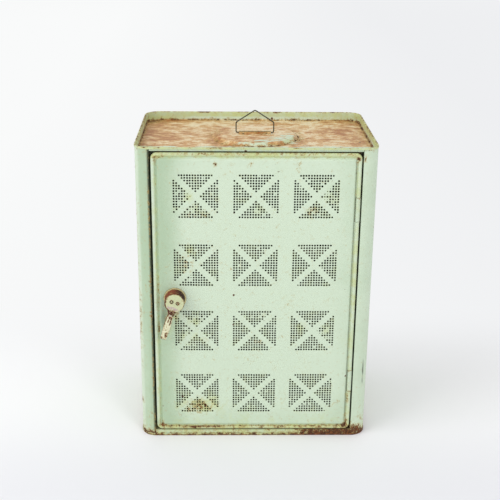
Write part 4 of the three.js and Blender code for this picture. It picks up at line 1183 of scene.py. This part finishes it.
class PIESAFE_OT_door(bpy.types.Operator):
    """The door: a pressed sheet with its bead, valley, raised panel and pierced squares"""

    bl_idname = "pie_safe.door"
    bl_label = "Door"

    def lattice_lines(self, d, latch):
        """The panel's lines across and up: one at each hole cell's edge, filled in between."""
        reach = (d.reach + 0.5) * d.pitch
        middle = ((d.left + d.right) / 2, (d.low + d.high) / 2)
        made = []
        for axis, (count, step) in enumerate(((d.columns, d.across), (d.rows, d.up))):
            centres = middle[axis] + (np.arange(count) - (count - 1) / 2) * step
            cells = centres[:, None] + np.linspace(-reach, reach, 2 * d.reach + 2)
            low, high = (d.left, d.right) if axis == 0 else (d.low, d.high)
            spindle = (latch.x, latch.z)[axis]
            extra = [low + d.margin, high - d.margin, spindle - 3.0]
            if axis == 1:
                extra += [spindle + 3.0, *(self.windows(d)[[1, 2]])]
            made.append((fill(np.unique(np.round([*cells.ravel(), *extra], 4)), 9.6), centres))
        return made

    def windows(self, d):
        """The four heights where the rolled edge is cut away for the two hinge straps."""
        half = d.strap_length / 2 + 0.5
        low, high = d.low + d.strap_middle, d.high - d.strap_middle
        return np.array([low - half, low + half, high - half, high + half])

    def panel(self, d, latch, xs, zs, across, up):
        """The pierced panel. A hole's cell is its four corners and a ring of eight points.

        The rings are centre + radius * (cos, sin) at 22.5 degrees plus eighths of a turn. Holes
        fill a square's cells, |i - 8| and |j - 8| at least two apart, which leaves a bare cross.
        """
        x, z = np.meshgrid(xs, zs)
        points = np.stack([x, np.full(x.shape, -d.proud), z], axis=-1).reshape(-1, 3)
        faces = grid(len(zs), len(xs))
        cx, cz = (xs[1:] + xs[:-1]) / 2, (zs[1:] + zs[:-1]) / 2
        steps_x = cx[:, None] - across
        steps_z = cz[:, None] - up
        i = steps_x[np.arange(len(cx)), np.abs(steps_x).argmin(axis=1)] / d.pitch
        j = steps_z[np.arange(len(cz)), np.abs(steps_z).argmin(axis=1)] / d.pitch
        apart = np.abs(np.abs(i)[None, :] - np.abs(j)[:, None])
        inside = (np.abs(i)[None, :] < d.reach + 0.2) & (np.abs(j)[:, None] < d.reach + 0.2)
        holes = inside & (apart > 1.9)
        bore = (np.abs(cx - latch.x) < 3.0)[None, :] & (np.abs(cz - latch.z) < 3.0)[:, None]
        plain = faces[~holes & ~bore]

        row, column = np.nonzero(holes)
        random = np.random.default_rng(11)
        centre = np.stack([cx[column], cz[row]], axis=1)
        centre += random.normal(0, 0.07, centre.shape)
        size = d.hole / 2 * random.normal(1, 0.03, len(centre)).clip(0.9, 1.06)
        chance = 0.03 + spots(*centre.T, CLOGS)
        clogged = random.random(len(centre)) < chance
        size = np.where(clogged, size * random.uniform(0.3, 0.75, len(centre)), size)
        angle = np.radians(22.5 + 45 * np.arange(8))
        rims = np.empty((len(centre), 8, 3))
        rims[..., 0] = centre[:, :1] + size[:, None] * np.cos(angle)
        rims[..., 1] = -d.proud + 0.14
        rims[..., 2] = centre[:, 1:] + size[:, None] * np.sin(angle)
        first = len(points) + 8 * np.arange(len(centre))[:, None]
        a, b, c, e = faces[row, column].T
        corner = np.stack([c, e, a, b], axis=1)
        k = np.arange(4)
        even, odd = first + 2 * k, first + 2 * k + 1
        wedge = np.stack([even, corner, odd, odd], axis=-1)
        after = first + (2 * k + 2) % 8
        band = np.stack([odd, corner, np.roll(corner, -1, axis=1), after], axis=-1)
        faces = np.concatenate([plain, wedge.reshape(-1, 4), band.reshape(-1, 4)])
        dirt = np.zeros(len(points) + rims.size // 3)
        dirt[len(points) :] = np.repeat(random.uniform(0.02, 0.26, len(centre)), 8)
        return np.concatenate([points, rims.reshape(-1, 3)]), faces, dirt

    def edge(self, d, xs, zs):
        """The door's edge as rows worked inwards: flange, bead, valley, slope, border.

        The bead is inset = r - r cos a, depth = y - r sin a. On the hinge side the flange's rows
        follow the same circle on round, and make the tube that the rod runs in.
        """
        r = d.bead
        axis_y = r - d.proud
        valley_y = d.valley - d.proud
        end = math.pi - math.asin((axis_y - valley_y) / r)
        bead_angle = np.linspace(0, end, 12)
        bead = np.stack([r - r * np.cos(bead_angle), axis_y - r * np.sin(bead_angle)], axis=1)
        turns = 9
        flange = np.stack(
            [np.zeros(turns), np.linspace(d.flange, axis_y, turns, endpoint=False)], axis=1
        )
        start = bead[-1, 0] + d.valley_flat
        share = np.linspace(0, 1, 8)[1:]
        slope = np.stack(
            [start + share * d.slope, valley_y - d.valley * smooth(share, 0, 1)], axis=1
        )
        border = [(start + d.slope + 2, -d.proud), (d.margin, -d.proud)]
        valley = [(bead[-1, 0] + 0.9, valley_y), (start, valley_y)]
        rows = np.concatenate([flange, bead, valley, slope, border])
        inset = rows[:, 0]
        tight = d.corner - bead[-1, 0]
        radius = np.where(
            inset <= bead[-1, 0], d.corner - inset,
            tight * (d.margin - inset) / (d.margin - bead[-1, 0])
        )
        windows = self.windows(d)
        snapped = zs.copy()
        snapped[np.abs(zs[:, None] - windows).argmin(axis=0)] = windows
        up = np.where(inset[:, None] < start + 0.1, snapped, zs)
        low, high = (d.left, d.low), (d.right, d.high)
        x, z = ring(low, high, inset, radius, (xs, up), 9)
        y = np.broadcast_to(rows[:, 1:], x.shape).copy()

        # The hinge side's points run from the end of its lower corner to its upper corner
        first = len(xs) + 2 + 8
        last = first + len(zs) + 1
        back = np.linspace(-math.radians(187), 0, turns, endpoint=False)[:, None]
        rolled_x = np.broadcast_to(d.right - r + r * np.cos(back), (turns, last + 1 - first))
        rolled_y = np.broadcast_to(axis_y - r * np.sin(back), rolled_x.shape)
        x, y, z = (np.insert(v, [first, last + 1], v[:, [first, last]], axis=1) for v in (x, y, z))
        right = slice(first + 1, last + 2)
        x[:turns, right] = rolled_x
        y[:turns, right] = rolled_y
        points = np.stack([x, y, z], axis=-1)
        faces = grid(*points.shape[:2], False, True)
        keep = np.ones(faces.shape[:2], bool)
        keep[:turns, [first, last + 1]] = False
        z_middle = (z[0, right][1:] + z[0, right][:-1]) / 2
        in_window = np.searchsorted(windows, z_middle) % 2 == 1
        cut_rows = turns + len(bead)
        keep[:cut_rows, first + 1 : last + 1] &= ~in_window
        return points, faces[keep]

    def execute(self, context):
        d, latch = sizes(context.scene.safe_door), sizes(context.scene.safe_latch)
        sheet = sizes(context.scene.safe_case).sheet
        (xs, across), (zs, up) = self.lattice_lines(d, latch)
        points, faces, dirt = self.panel(d, latch, xs, zs, across, up)
        points, faces = joined((points, faces), self.edge(d, xs[1:-1], zs[1:-1]))
        dirt = np.pad(dirt, (0, len(points) - len(dirt)))
        x, z = points[:, 0], points[:, 2]

        # The panel bulges by (1 - u^4)(1 - v^6) of its crown, in slow waves, but not by the latch
        u = np.clip((x - (xs[0] + xs[-1]) / 2) / ((xs[-1] - xs[0]) / 2), -1, 1)
        v = np.clip((z - (zs[0] + zs[-1]) / 2) / ((zs[-1] - zs[0]) / 2), -1, 1)
        bulge = d.crown * (1 - u**4) * (1 - v**6)
        wave = 0.12 * dents(x, z, 3, 1.0) * (1 - u**8) * (1 - v**8)
        points[:, 1] -= (bulge + wave) * smooth(np.hypot(x - latch.x, z - latch.z), 19, 60)
        piece(
            "door_sheet", (points, faces), "aged enamel", "door", ["door_skin"], sheet,
            lining="dark inside primer", rust=lambda p: door_rust(p, d),
            chalk=lambda p: door_chalk(p, d), stain=door_stain(points, d) + 0.34 * (dirt > 0),
            grime=np.maximum(door_grime(points, d), dirt)
        )
        return {"FINISHED"}


def door_chalk(points, d):
    """Painted sheen and highlight on the door: paler on the bead, and on the panel but for its left
    and foot.
    """
    x, y, z = points.T
    across = smooth(x, d.left + 8, d.left + 66) * (1 - 0.4 * smooth(x, d.right - 70, d.right))
    up = 0.62 + 0.38 * smooth(z, d.low + 6, d.low + 80) - 0.2 * smooth(z, d.high - 110, d.high)
    bead = 0.8 * (1 - smooth(door_inset(points, d), 4, 7)) * (z > 24)
    return np.maximum(across * up, bead)


class PIESAFE_OT_hinge(bpy.types.Operator):
    """The hinge: the rod in the door's rolled edge, and the straps that loop round it"""

    bl_idname = "pie_safe.hinge"
    bl_label = "Hinge"

    def execute(self, context):
        s, d = sizes(context.scene.safe_case), sizes(context.scene.safe_door)
        x, y = d.right - d.bead, d.bead - d.proud
        low, high = d.low + d.corner, d.high - d.corner
        end = np.array([(0, low), (1.7, low), (2.1, low + 0.4), (2.1, high - 0.4)])
        rod = np.concatenate([end, [(1.7, high), (0, high)]])
        piece(
            "hinge_pin", lathe(rod, (x, y, 0), "Z", 20), "dull zinc steel", "door", ["hinge_rod"]
        )
        outer, thickness, leaf = 3.5, 1.1, s.right - 0.1
        loop = np.linspace(0, -2 * math.pi * 0.92, 40)
        loop = np.stack([x + outer * np.cos(loop), y + outer * np.sin(loop)], axis=1)
        straight = [(leaf, s.stop_depth - 0.1), (leaf, y + 3.2), (x + outer, y + 1.6)]
        path = np.concatenate([straight, loop])
        middles = {"upper": d.high - d.strap_middle, "lower": d.low + d.strap_middle}
        half = d.strap_length / 2
        for name, middle in middles.items():
            # Each leaf is drawn darker where it runs back into the gap: painted shade.
            piece(
                f"{name}_strap_leaf", drawn(path, fill([middle - half, middle + half], 4), "Z"),
                "aged enamel", "case", [f"{name}_hinge_strap"], thickness,
                rust=lambda p: 0.1 + 0.3 * smooth(np.abs(p[:, 2] - middle), half - 1.5, half),
                chalk=0.6, stain=0.2, grime=lambda p: 0.9 * smooth(p[:, 1], 2.6, 5)
            )
        return {"FINISHED"}


class PIESAFE_OT_latch(bpy.types.Operator):
    """The lever latch, from the lever and its drum through the door to the cam and its nut"""

    bl_idname = "pie_safe.latch"
    bl_label = "Latch"

    def lever(self, k):
        """The lever: its outline, worked in from the folded edge over the round to the middle.

        The head is a circle, and the arm's sides run by straight stretches with rounded bends.
        """
        spread = math.radians(62)
        head = np.linspace(-spread, math.pi + spread, 54)
        head = k.head * np.stack([np.cos(head), np.sin(head)], axis=1)
        arm = rounded(
            [
                head[-1], (-k.neck, -k.neck_drop + 1), (-k.arm, -k.arm_drop),
                (-k.tip, -k.tip_drop), (k.tip, -k.tip_drop), (k.arm, -k.arm_drop),
                (k.neck, -k.neck_drop + 1), head[0]
            ],
            [7, 40, 1.2, 1.2, 40, 7], 6
        )
        outline = np.concatenate([head, fill(arm[1:-1], 2.2)])
        drop = outline[:, 1]
        spine = np.stack([np.zeros(len(outline)), np.clip(drop, -k.tip_drop + k.tip, 0)], axis=1)
        folded = smooth(-drop, k.head - 1, k.neck_drop + 1)
        depth = k.head_fold + (k.fold - k.head_fold) * folded
        bend = 1.0
        angle = np.linspace(0, math.pi / 2, 6)
        rows = [(0, 0, -k.front + depth)]
        rows += [(bend * (1 - math.cos(a)), 0, -k.front + bend * (1 - math.sin(a))) for a in angle]
        rows += [(bend, share, -k.front - 0.1 * share) for share in (0.2, 0.45, 0.7, 1)]
        return pressed(outline, spine, rows)

    def disc(self, profile, sides=48, close=False):
        """A turned piece about the spindle's axis, drawn plumb."""
        return lathe(profile, (0, 0, 0), "Y", sides, close)

    def execute(self, context):
        k = sizes(context.scene.safe_latch)

        def put(name, shape, finish, body, node, **rest):
            piece(name, (about_spindle(shape[0], k), shape[1]), finish, body, [node], **rest)

        put(
            "lever", self.lever(k), "worn lever enamel", "latch", "latch_lever", thickness=k.sheet,
            rust=lambda p: lever_rust(p, k), worn=lambda p: lever_wear(p, k),
            chalk=lambda p: 0.1 + 0.85 * smooth(-plumb(p, k)[1], 18, 30)
        )
        face = 1.3 - k.front
        rear = -2.6
        drum = [
            (0, face), (k.drum_front - 1.2, face), (k.drum_front - 0.4, face + 0.3),
            (k.drum_front, face + 1.1), (k.drum_back - 0.2, rear - 1.6), (k.drum_back, rear),
            (k.drum_back - 0.8, rear), (k.drum_front - 0.8, face + 1.4),
            (k.drum_front - 1.4, face + 1.0), (0, face + 1.0)
        ]
        tongue = np.array([(4, -6), (4, -20), (2.6, -21.5), (-2.6, -21.5), (-4, -20), (-4, -6)])
        tongue = fill(np.concatenate([tongue, tongue[:1]])[::-1], 2)[:-1]
        spine = np.stack([np.zeros(len(tongue)), np.clip(tongue[:, 1], -19, -8)], axis=1)
        plate = [(0, 1, face + 1), (0, 0, face + 1), (0, 0, face), (0, 1, face)]
        # The drum's rust is drawn lighter at its left and darker at its right.
        put(
            "latch_cup", joined(self.disc(drum), pressed(tongue, spine, plate)), "rusted steel",
            "latch", "latch_drum", rust=0.8,
            worn=lambda p: 0.95 * (1 - smooth(plumb(p, k)[0], -9, 6))
        )
        rosette = [
            (2.8, -2.0), (15.2, -2.0), (16.2, -2.3), (16.9, -2.25), (k.rosette, -1.9),
            (k.rosette, -1.1), (2.8, -1.1)
        ]
        put(
            "rosette", self.disc(rosette, 64, True), "worn cream enamel", "door", "latch_rosette",
            rust=lambda p: 0.1 + 0.7 * smooth(np.hypot(p[:, 0] - k.x, p[:, 2] - k.z), 16.9, 17.3),
            worn=0.0
        )
        flange = face + 1.1
        spindle = [
            (0, flange), (9, flange), (9, flange + 1.5), (2.5, flange + 1.5), (2.5, 18.2),
            (2.0, 18.7), (0, 18.7)
        ]
        backing = [(2.8, -0.1), (10.7, -0.1), (11, 1.1), (2.8, 1.1)]
        spacer = [(2.8, 1.4), (4.7, 1.4), (5, 1.7), (5, 11.2), (4.7, 11.5), (2.8, 11.5)]
        nut = [(2.8, 13.7), (5.6, 13.7), (5.6, 17.2), (4.9, 17.7), (2.8, 17.7)]
        for name, body, node, profile, sides in (
            ("spindle", "latch", "latch_spindle", spindle, 36),
            ("backing_plate", "door", "latch_backing_washer", backing, 36),
            ("spacer", "latch", "latch_spacer", spacer, 28), ("nut", "latch", "cam_nut", nut, 6)
        ):
            shape = self.disc(profile, sides, profile is not spindle)
            put(name, shape, "dull zinc steel", body, node, sharp=28)
        end = np.linspace(0, math.pi, 16)
        bar = 5 * np.stack([np.cos(end), np.sin(end)], axis=1)
        bar = np.concatenate([bar, [(-5, -29.5), (-3.5, -31), (3.5, -31), (5, -29.5)]])
        bar = fill(np.concatenate([bar, bar[:1]]), 3)[:-1]
        spine = np.stack([np.zeros(len(bar)), np.clip(bar[:, 1], -27, 0)], axis=1)
        rows = [(0.3, 1, 13.6), (0.3, 0, 13.6), (0, 0, 13.3), (0, 0, 11.9)]
        rows += [(0.3, 0, 11.6), (0.3, 1, 11.6)]
        put("cam", pressed(bar, spine, rows), "dull zinc steel", "latch", "latch_cam", sharp=28)
        return {"FINISHED"}


def plumb(points, k):
    """Places on the latch with its lever hung plumb: across, and up from the spindle."""
    x, z = points[:, 0] - k.x, points[:, 2] - k.z
    cos, sin = math.cos(k.angle), math.sin(k.angle)
    return x * cos - z * sin, x * sin + z * cos


def lever_rust(points, k):
    """Rust on the lever: the tear below the neck's rivet, the head's edge and the tip's end.

    The dark of its turned edge and of the head's lower left is partly painted shade.
    """
    x, z = plumb(points, k)
    y = points[:, 1]
    away = np.hypot(x, z)
    rim = 0.62 * smooth(away, k.head - 1.5, k.head - 0.3) * (z > -k.head + 2)
    # The head's lower left edge is drawn darker: painted shade.
    low = smooth(-x - z, -0.2 * k.head, k.head) * smooth(away, k.head - 2.4, k.head - 1.0)
    rim = np.maximum(rim, 0.9 * low * (z > -k.head + 1))
    # The turned edge is drawn dark: rust and painted shade.
    back = 0.85 * smooth(y, -k.front + 0.05, -k.front + 0.7)
    tip = 0.62 * smooth(-z, k.tip_drop - 1.8, k.tip_drop - 0.8)
    return np.maximum(np.maximum(rim, back), np.maximum(tip, spots(x, z, LEVER_MARKS)))


LEVER_MARKS = (
    (0.3, -15.4, 5.6, 4.4, 0.95), (3.6, -18.6, 2.0, 5.0, 0.95), (-3.6, -19.6, 1.2, 4.0, 0.85),
    (0.6, -24.5, 3.2, 2.4, 0.85), (2.9, -30, 1.5, 10, 0.9), (-0.9, -29, 1.2, 7, 0.8),
    (-4.4, -30, 1.0, 16, 0.6), (-4.7, 1.4, 3.8, 3.8, 0.46), (4.7, 1.4, 3.8, 3.8, 0.46),
    (2.4, -54, 3.0, 6, 0.8), (0, -46, 4, 9, 0.36), (-3.5, -60, 3, 3, 0.7),
    (-3.4, -48, 1.5, 14, 0.42), (11, 8, 3, 3, 0.4)
)


def lever_wear(points, k):
    """Where the lever's undercoat shows: below the head's rivets and along the arm's left edge."""
    x, z = plumb(points, k)
    return spots(x, z, ((0, -10, 12, 6, 0.62), (0, -20, 7, 6, 0.5)))


class PIESAFE_OT_bail(bpy.types.Operator):
    """The wire bail and the strap that holds it to the boss"""

    bl_idname = "pie_safe.bail"
    bl_label = "Bail"

    def wire(self, t):
        """The wire: a circle carried along the bent path, in planes square to it."""
        corners = [
            (0.2, 0), (t.half, 0), (t.half, t.shoulder), (0, t.peak), (-t.half, t.shoulder),
            (-t.half, 0), (-0.2, 0)
        ]
        path = fill(rounded(corners, [2.2, 3.2, 3.6, 3.2, 2.2], 7), 5)
        along = np.gradient(path, axis=0)
        along /= np.linalg.norm(along, axis=1, keepdims=True)
        across = np.stack([-along[:, 1], along[:, 0]], axis=1)
        angle = np.linspace(0, 2 * math.pi, 14, endpoint=False)
        radius = np.full(len(path), t.wire)
        path = np.concatenate([path[:1], path, path[-1:]])
        across = np.concatenate([across[:1], across, across[-1:]])
        radius = np.concatenate([[0], radius, [0]])[:, None]
        points = np.empty((len(path), len(angle), 3))
        points[..., 0] = path[:, :1] + radius * across[:, :1] * np.cos(angle)
        points[..., 1] = t.setback + radius * np.sin(angle)
        points[..., 2] = t.pivot + path[:, 1:] + radius * across[:, 1:] * np.cos(angle)
        return points, grid(len(path), len(angle), False, True)

    def execute(self, context):
        t = sizes(context.scene.safe_top)
        s = sizes(context.scene.safe_case)
        piece("bail", self.wire(t), "darkened steel wire", "bail", ["bail_wire"])
        top = s.tray + t.rise + 0.1 + s.sheet
        radius = t.wire + 0.3 + s.sheet
        spring = math.asin((top - t.pivot) / radius)
        arch = np.linspace(math.pi - spring, spring, 14)
        arch = np.stack([t.setback + radius * np.cos(arch), t.pivot + radius * np.sin(arch)], 1)
        feet = [(t.setback - radius - t.strap_foot, top), (t.setback + radius + t.strap_foot, top)]
        path = fill(np.concatenate([feet[:1], arch, feet[1:]]), 1.5)
        shape = drawn(path, fill([-t.strap / 2, t.strap / 2], 3), "X")
        # The strap is drawn darker along its arch above the feet.
        piece(
            "bail_clip", shape, "worn tray enamel", "case", ["bail_strap"], s.sheet,
            slot="rusty_steel", rust=0.3, stain=0.6, worn=0.9,
            grime=lambda p: 0.9 * smooth(p[:, 2], top + 1.2, top + 2.6)
        )
        return {"FINISHED"}


class PIESAFE_OT_shelves(bpy.types.Operator):
    """The two shelves and the angle ledges that carry them"""

    bl_idname = "pie_safe.shelves"
    bl_label = "Shelves"

    def execute(self, context):
        s = sizes(context.scene.safe_case)
        rear = s.wall_depth - s.sheet - 0.6
        half = s.wall_half - s.sheet - 0.6
        for level in ("lower", "upper"):
            low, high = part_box(f"{level}_shelf")
            top, lip = high.z / MM, low.z / MM
            section = rounded([(26, lip), (26, top), (rear, top)], [1.2], 5)
            section = fill(section, 12)
            curve = fill([(rear - s.corner,), (rear,)], 2.8)[:, 0]
            tail = np.stack([curve, np.full(len(curve), top)], axis=1)
            section = np.concatenate([section[section[:, 0] < rear - s.corner - 1], tail])
            past = np.clip(section[:, 0] - (rear - s.corner), 0, s.corner)
            width = half - s.corner + np.sqrt(s.corner**2 - past**2)
            points, faces = drawn(section, np.linspace(-1, 1, 30), "X")
            points[..., 0] *= width[:, None]
            calm = smooth(points[..., 1], 40, 90) * (1 - smooth(points[..., 1], 180, 230))
            calm *= 1 - smooth(np.abs(points[..., 0]), 110, 150)
            points[..., 2] += calm * (dents(points[..., 0], points[..., 1], 9, 0.2) - 0.35)
            piece(
                f"{level}_shelf_sheet", (points, faces), "aged enamel", "case", [f"{level}_shelf"],
                s.sheet, rust=lambda p: 0.3 + 0.25 * (1 - smooth(p[:, 1], 27, 40)), chalk=0.3,
                worn=0.35
            )
            for side, word in ((-1, "left"), (1, "right")):
                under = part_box(f"{level}_{word}_ledge")
                top, foot = under[1].z / MM, under[0].z / MM
                wall = s.wall_half - s.sheet - 0.1
                path = [(side * wall, foot), (side * wall, top), (side * (wall - 13), top)]
                path = fill(rounded(path, [1.2], 5), 4)
                ends = [value / MM - FACE_Y for value in (under[0].y, under[1].y)]
                points, faces = drawn(path, fill(ends, 12), "Y")
                if side < 0:
                    faces = turned_over(faces)
                piece(
                    f"{level}_{word}_ledge_angle", (points, faces), "aged enamel", "case",
                    [f"{level}_{word}_ledge"], 1.0, rust=0.3, chalk=0.3, worn=0.2
                )
        return {"FINISHED"}


class PIESAFE_OT_rivets(bpy.types.Operator):
    """All the rivets, each at its own place in the frame"""

    bl_idname = "pie_safe.rivets"
    bl_label = "Rivets"

    def rivet(self, node, name, finish, body, axis, head, tail, shank, crown, hollow=0.0):
        """One rivet with a domed head at the low end of its axis and an upset tail at the other.

        A hollow rivet's head has a rolled ring round its bore, a half circle of profile.
        """
        shift = np.array([0, FACE_Y, 0])
        low, high = (np.array(corner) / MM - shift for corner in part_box(node))
        way = "XYZ".index(axis)
        centre, face, end = (low + high) / 2, low[way] + crown, high[way] - crown
        top = dome(head, face, -crown)[::-1]
        if hollow:
            angle = np.linspace(math.pi, 0, 9)
            middle, reach = (head + hollow) / 2, (head - hollow) / 2
            top = np.stack([middle + reach * np.cos(angle), face - crown * np.sin(angle)], axis=1)
            top = np.concatenate([[(0, face + 0.2), (hollow, face + 0.2)], top])
        profile = np.concatenate([top, [(shank, face), (shank, end)], dome(tail, end, crown)])
        made = lathe(profile, centre, axis, 20)
        rust = 0.5
        if hollow:
            away = np.hypot(made[0][..., 0] - centre[0], made[0][..., 2] - centre[2]).ravel()
            rust = 0.1 + 0.9 * smooth(away, hollow - 0.3, hollow + 0.2)
        piece(name, made, finish, body, [node], rust=rust, worn=0.2)

    def execute(self, context):
        eyelet = ("worn lever enamel", "latch", "Y", 2.9, 2.0, 1.2, 0.9, 1.6)
        clip = ("rusted steel", "case", "Z", 1.7, 1.7, 1.0, 0.7)
        neck = ("rusted steel", "latch", "Y", 2.7, 2.0, 1.2, 0.9, 1.5)
        strap = ("dull zinc steel", "case", "X", 1.7, 1.7, 1.0, 0.7)
        ledge = ("dull zinc steel", "case", "Z", 2.5, 2.8, 1.5, 1.2)
        for side in ("left", "right"):
            self.rivet(f"{side}_head_rivet", f"{side}_eyelet", *eyelet)
            self.rivet(f"{side}_bail_rivet", f"{side}_clip_rivet", *clip)
        self.rivet("neck_rivet", "neck_eyelet", *neck)
        for level in ("upper", "lower"):
            for end in ("top", "bottom"):
                self.rivet(f"{level}_hinge_{end}_rivet", f"{level}_strap_{end}_rivet", *strap)
            for side in ("left", "right"):
                for end in ("front", "rear"):
                    place = f"{level}_{side}_{end}"
                    self.rivet(f"{place}_shelf_rivet", f"{place}_ledge_rivet", *ledge)
        return {"FINISHED"}


class PIESAFE_OT_finishes(bpy.types.Operator):
    """The finishes that the pieces take, from the group of colours"""

    bl_idname = "pie_safe.finishes"
    bl_label = "Finishes"

    def execute(self, context):
        enamel("aged enamel", (1.0, 1.0, 0.35))
        enamel("worn tray enamel", (0.6, 1.0, 1.0))
        lining("dark inside primer")
        rusted_steel("rusted steel")
        lever_enamel("worn lever enamel", "lever")
        lever_enamel("worn cream enamel", "rosette")
        metal("darkened steel wire", "wire", 0.38, 120.0)
        metal("dull zinc steel", "zinc", 0.42, 180.0)
        paper("matt paper sweep")
        return {"FINISHED"}


class PIESAFE_OT_stage(bpy.types.Operator):
    """The paper floor, the soft lights and the camera at the photograph's angle"""

    bl_idname = "pie_safe.stage"
    bl_label = "Stage"

    def lamp(self, name, place, size, power):
        """A square soft lamp that faces the middle of the safe."""
        light = bpy.data.lights.new(name, "AREA")
        light.shape = "SQUARE"
        light.size = size
        light.energy = power
        lamp = bpy.data.objects.new(name, light)
        lamp.location = place
        aim = Vector((0, 0, 0.24)) - Vector(place)
        lamp.rotation_euler = aim.to_track_quat("-Z", "Y").to_euler()
        bpy.context.scene.collection.objects.link(lamp)

    def execute(self, context):
        scene, stage = context.scene, context.scene.safe_stage
        scene.view_settings.view_transform = "Standard"

        mesh = bpy.data.meshes.new("paper_floor")
        reach = 14.0
        corners = [(-reach, -reach, 0), (reach, -reach, 0), (reach, reach, 0), (-reach, reach, 0)]
        mesh.from_pydata(corners, [], [(0, 1, 2, 3)])
        floor = bpy.data.objects.new("paper_floor", mesh)
        mesh.materials.append(bpy.data.materials["matt paper sweep"])
        scene.collection.objects.link(floor)

        world = bpy.data.worlds.new("studio")
        world.use_nodes = True
        world.node_tree.nodes.clear()
        node = partial(add, world.node_tree)
        lit = node("ShaderNodeBackground", (1.0, 1.0, 1.0, 1.0), stage.sky)
        seen = node("ShaderNodeBackground", colour("horizon"))
        rays = node("ShaderNodeLightPath", out="Is Camera Ray")
        node("ShaderNodeOutputWorld", node("ShaderNodeMixShader", rays, lit, seen))
        scene.world = world

        self.lamp("key", (-2.0, -1.2, 2.2), 2.0, stage.key)
        self.lamp("fill", (1.3, -2.5, 1.4), 0.8, stage.fill)

        data = bpy.data.cameras.new("camera")
        data.sensor_width = 36
        data.lens = stage.lens
        data.clip_end = 60
        camera = bpy.data.objects.new("camera", data)
        scene.collection.objects.link(camera)
        yaw, pitch, roll = stage.yaw, stage.pitch, stage.roll
        ahead = Vector(
            (math.sin(yaw) * math.cos(pitch), math.cos(yaw) * math.cos(pitch), -math.sin(pitch))
        )
        level = Vector((math.cos(yaw), -math.sin(yaw), 0))
        above = level.cross(ahead)
        right = level * math.cos(roll) + above * math.sin(roll)
        up = above * math.cos(roll) - level * math.sin(roll)
        turn = Matrix((right, up, -ahead)).transposed().to_4x4()
        camera.matrix_world = Matrix.Translation(stage.place) @ turn
        scene.camera = camera
        return {"FINISHED"}


OPERATORS = (
    PIESAFE_OT_finishes, PIESAFE_OT_stage, PIESAFE_OT_case_wall, PIESAFE_OT_pans, PIESAFE_OT_rails,
    PIESAFE_OT_door, PIESAFE_OT_hinge, PIESAFE_OT_latch, PIESAFE_OT_bail, PIESAFE_OT_shelves,
    PIESAFE_OT_rivets
)


class PIESAFE_PT_sidebar(bpy.types.Panel):
    """Lists the pieces of the pie safe"""

    bl_label = "Pie Safe"
    bl_idname = "PIESAFE_PT_sidebar"
    bl_space_type = "VIEW_3D"
    bl_region_type = "UI"
    bl_category = "Pie Safe"

    def draw(self, context):
        for operator in OPERATORS:
            self.layout.operator(operator.bl_idname)
        for key, group in GROUPS.items():
            box = self.layout.box()
            box.label(text=group.__name__)
            for prop in group.__annotations__:
                box.prop(getattr(context.scene, key), prop)


def register():
    for kind in (*GROUPS.values(), *OPERATORS, PIESAFE_PT_sidebar):
        bpy.utils.register_class(kind)
    for key, group in GROUPS.items():
        setattr(bpy.types.Scene, key, PointerProperty(type=group))


def unregister():
    for key in GROUPS:
        delattr(bpy.types.Scene, key)
    for kind in reversed((*GROUPS.values(), *OPERATORS, PIESAFE_PT_sidebar)):
        bpy.utils.unregister_class(kind)


def main():
    """Builds every piece and the stage."""
    register()
    bpy.ops.pie_safe.finishes()
    bpy.ops.pie_safe.stage()
    bpy.ops.pie_safe.case_wall()
    bpy.ops.pie_safe.pans()
    bpy.ops.pie_safe.rails()
    bpy.ops.pie_safe.door()
    bpy.ops.pie_safe.hinge()
    bpy.ops.pie_safe.latch()
    bpy.ops.pie_safe.bail()
    bpy.ops.pie_safe.shelves()
    bpy.ops.pie_safe.rivets()


if __name__ == "__main__":
    main()
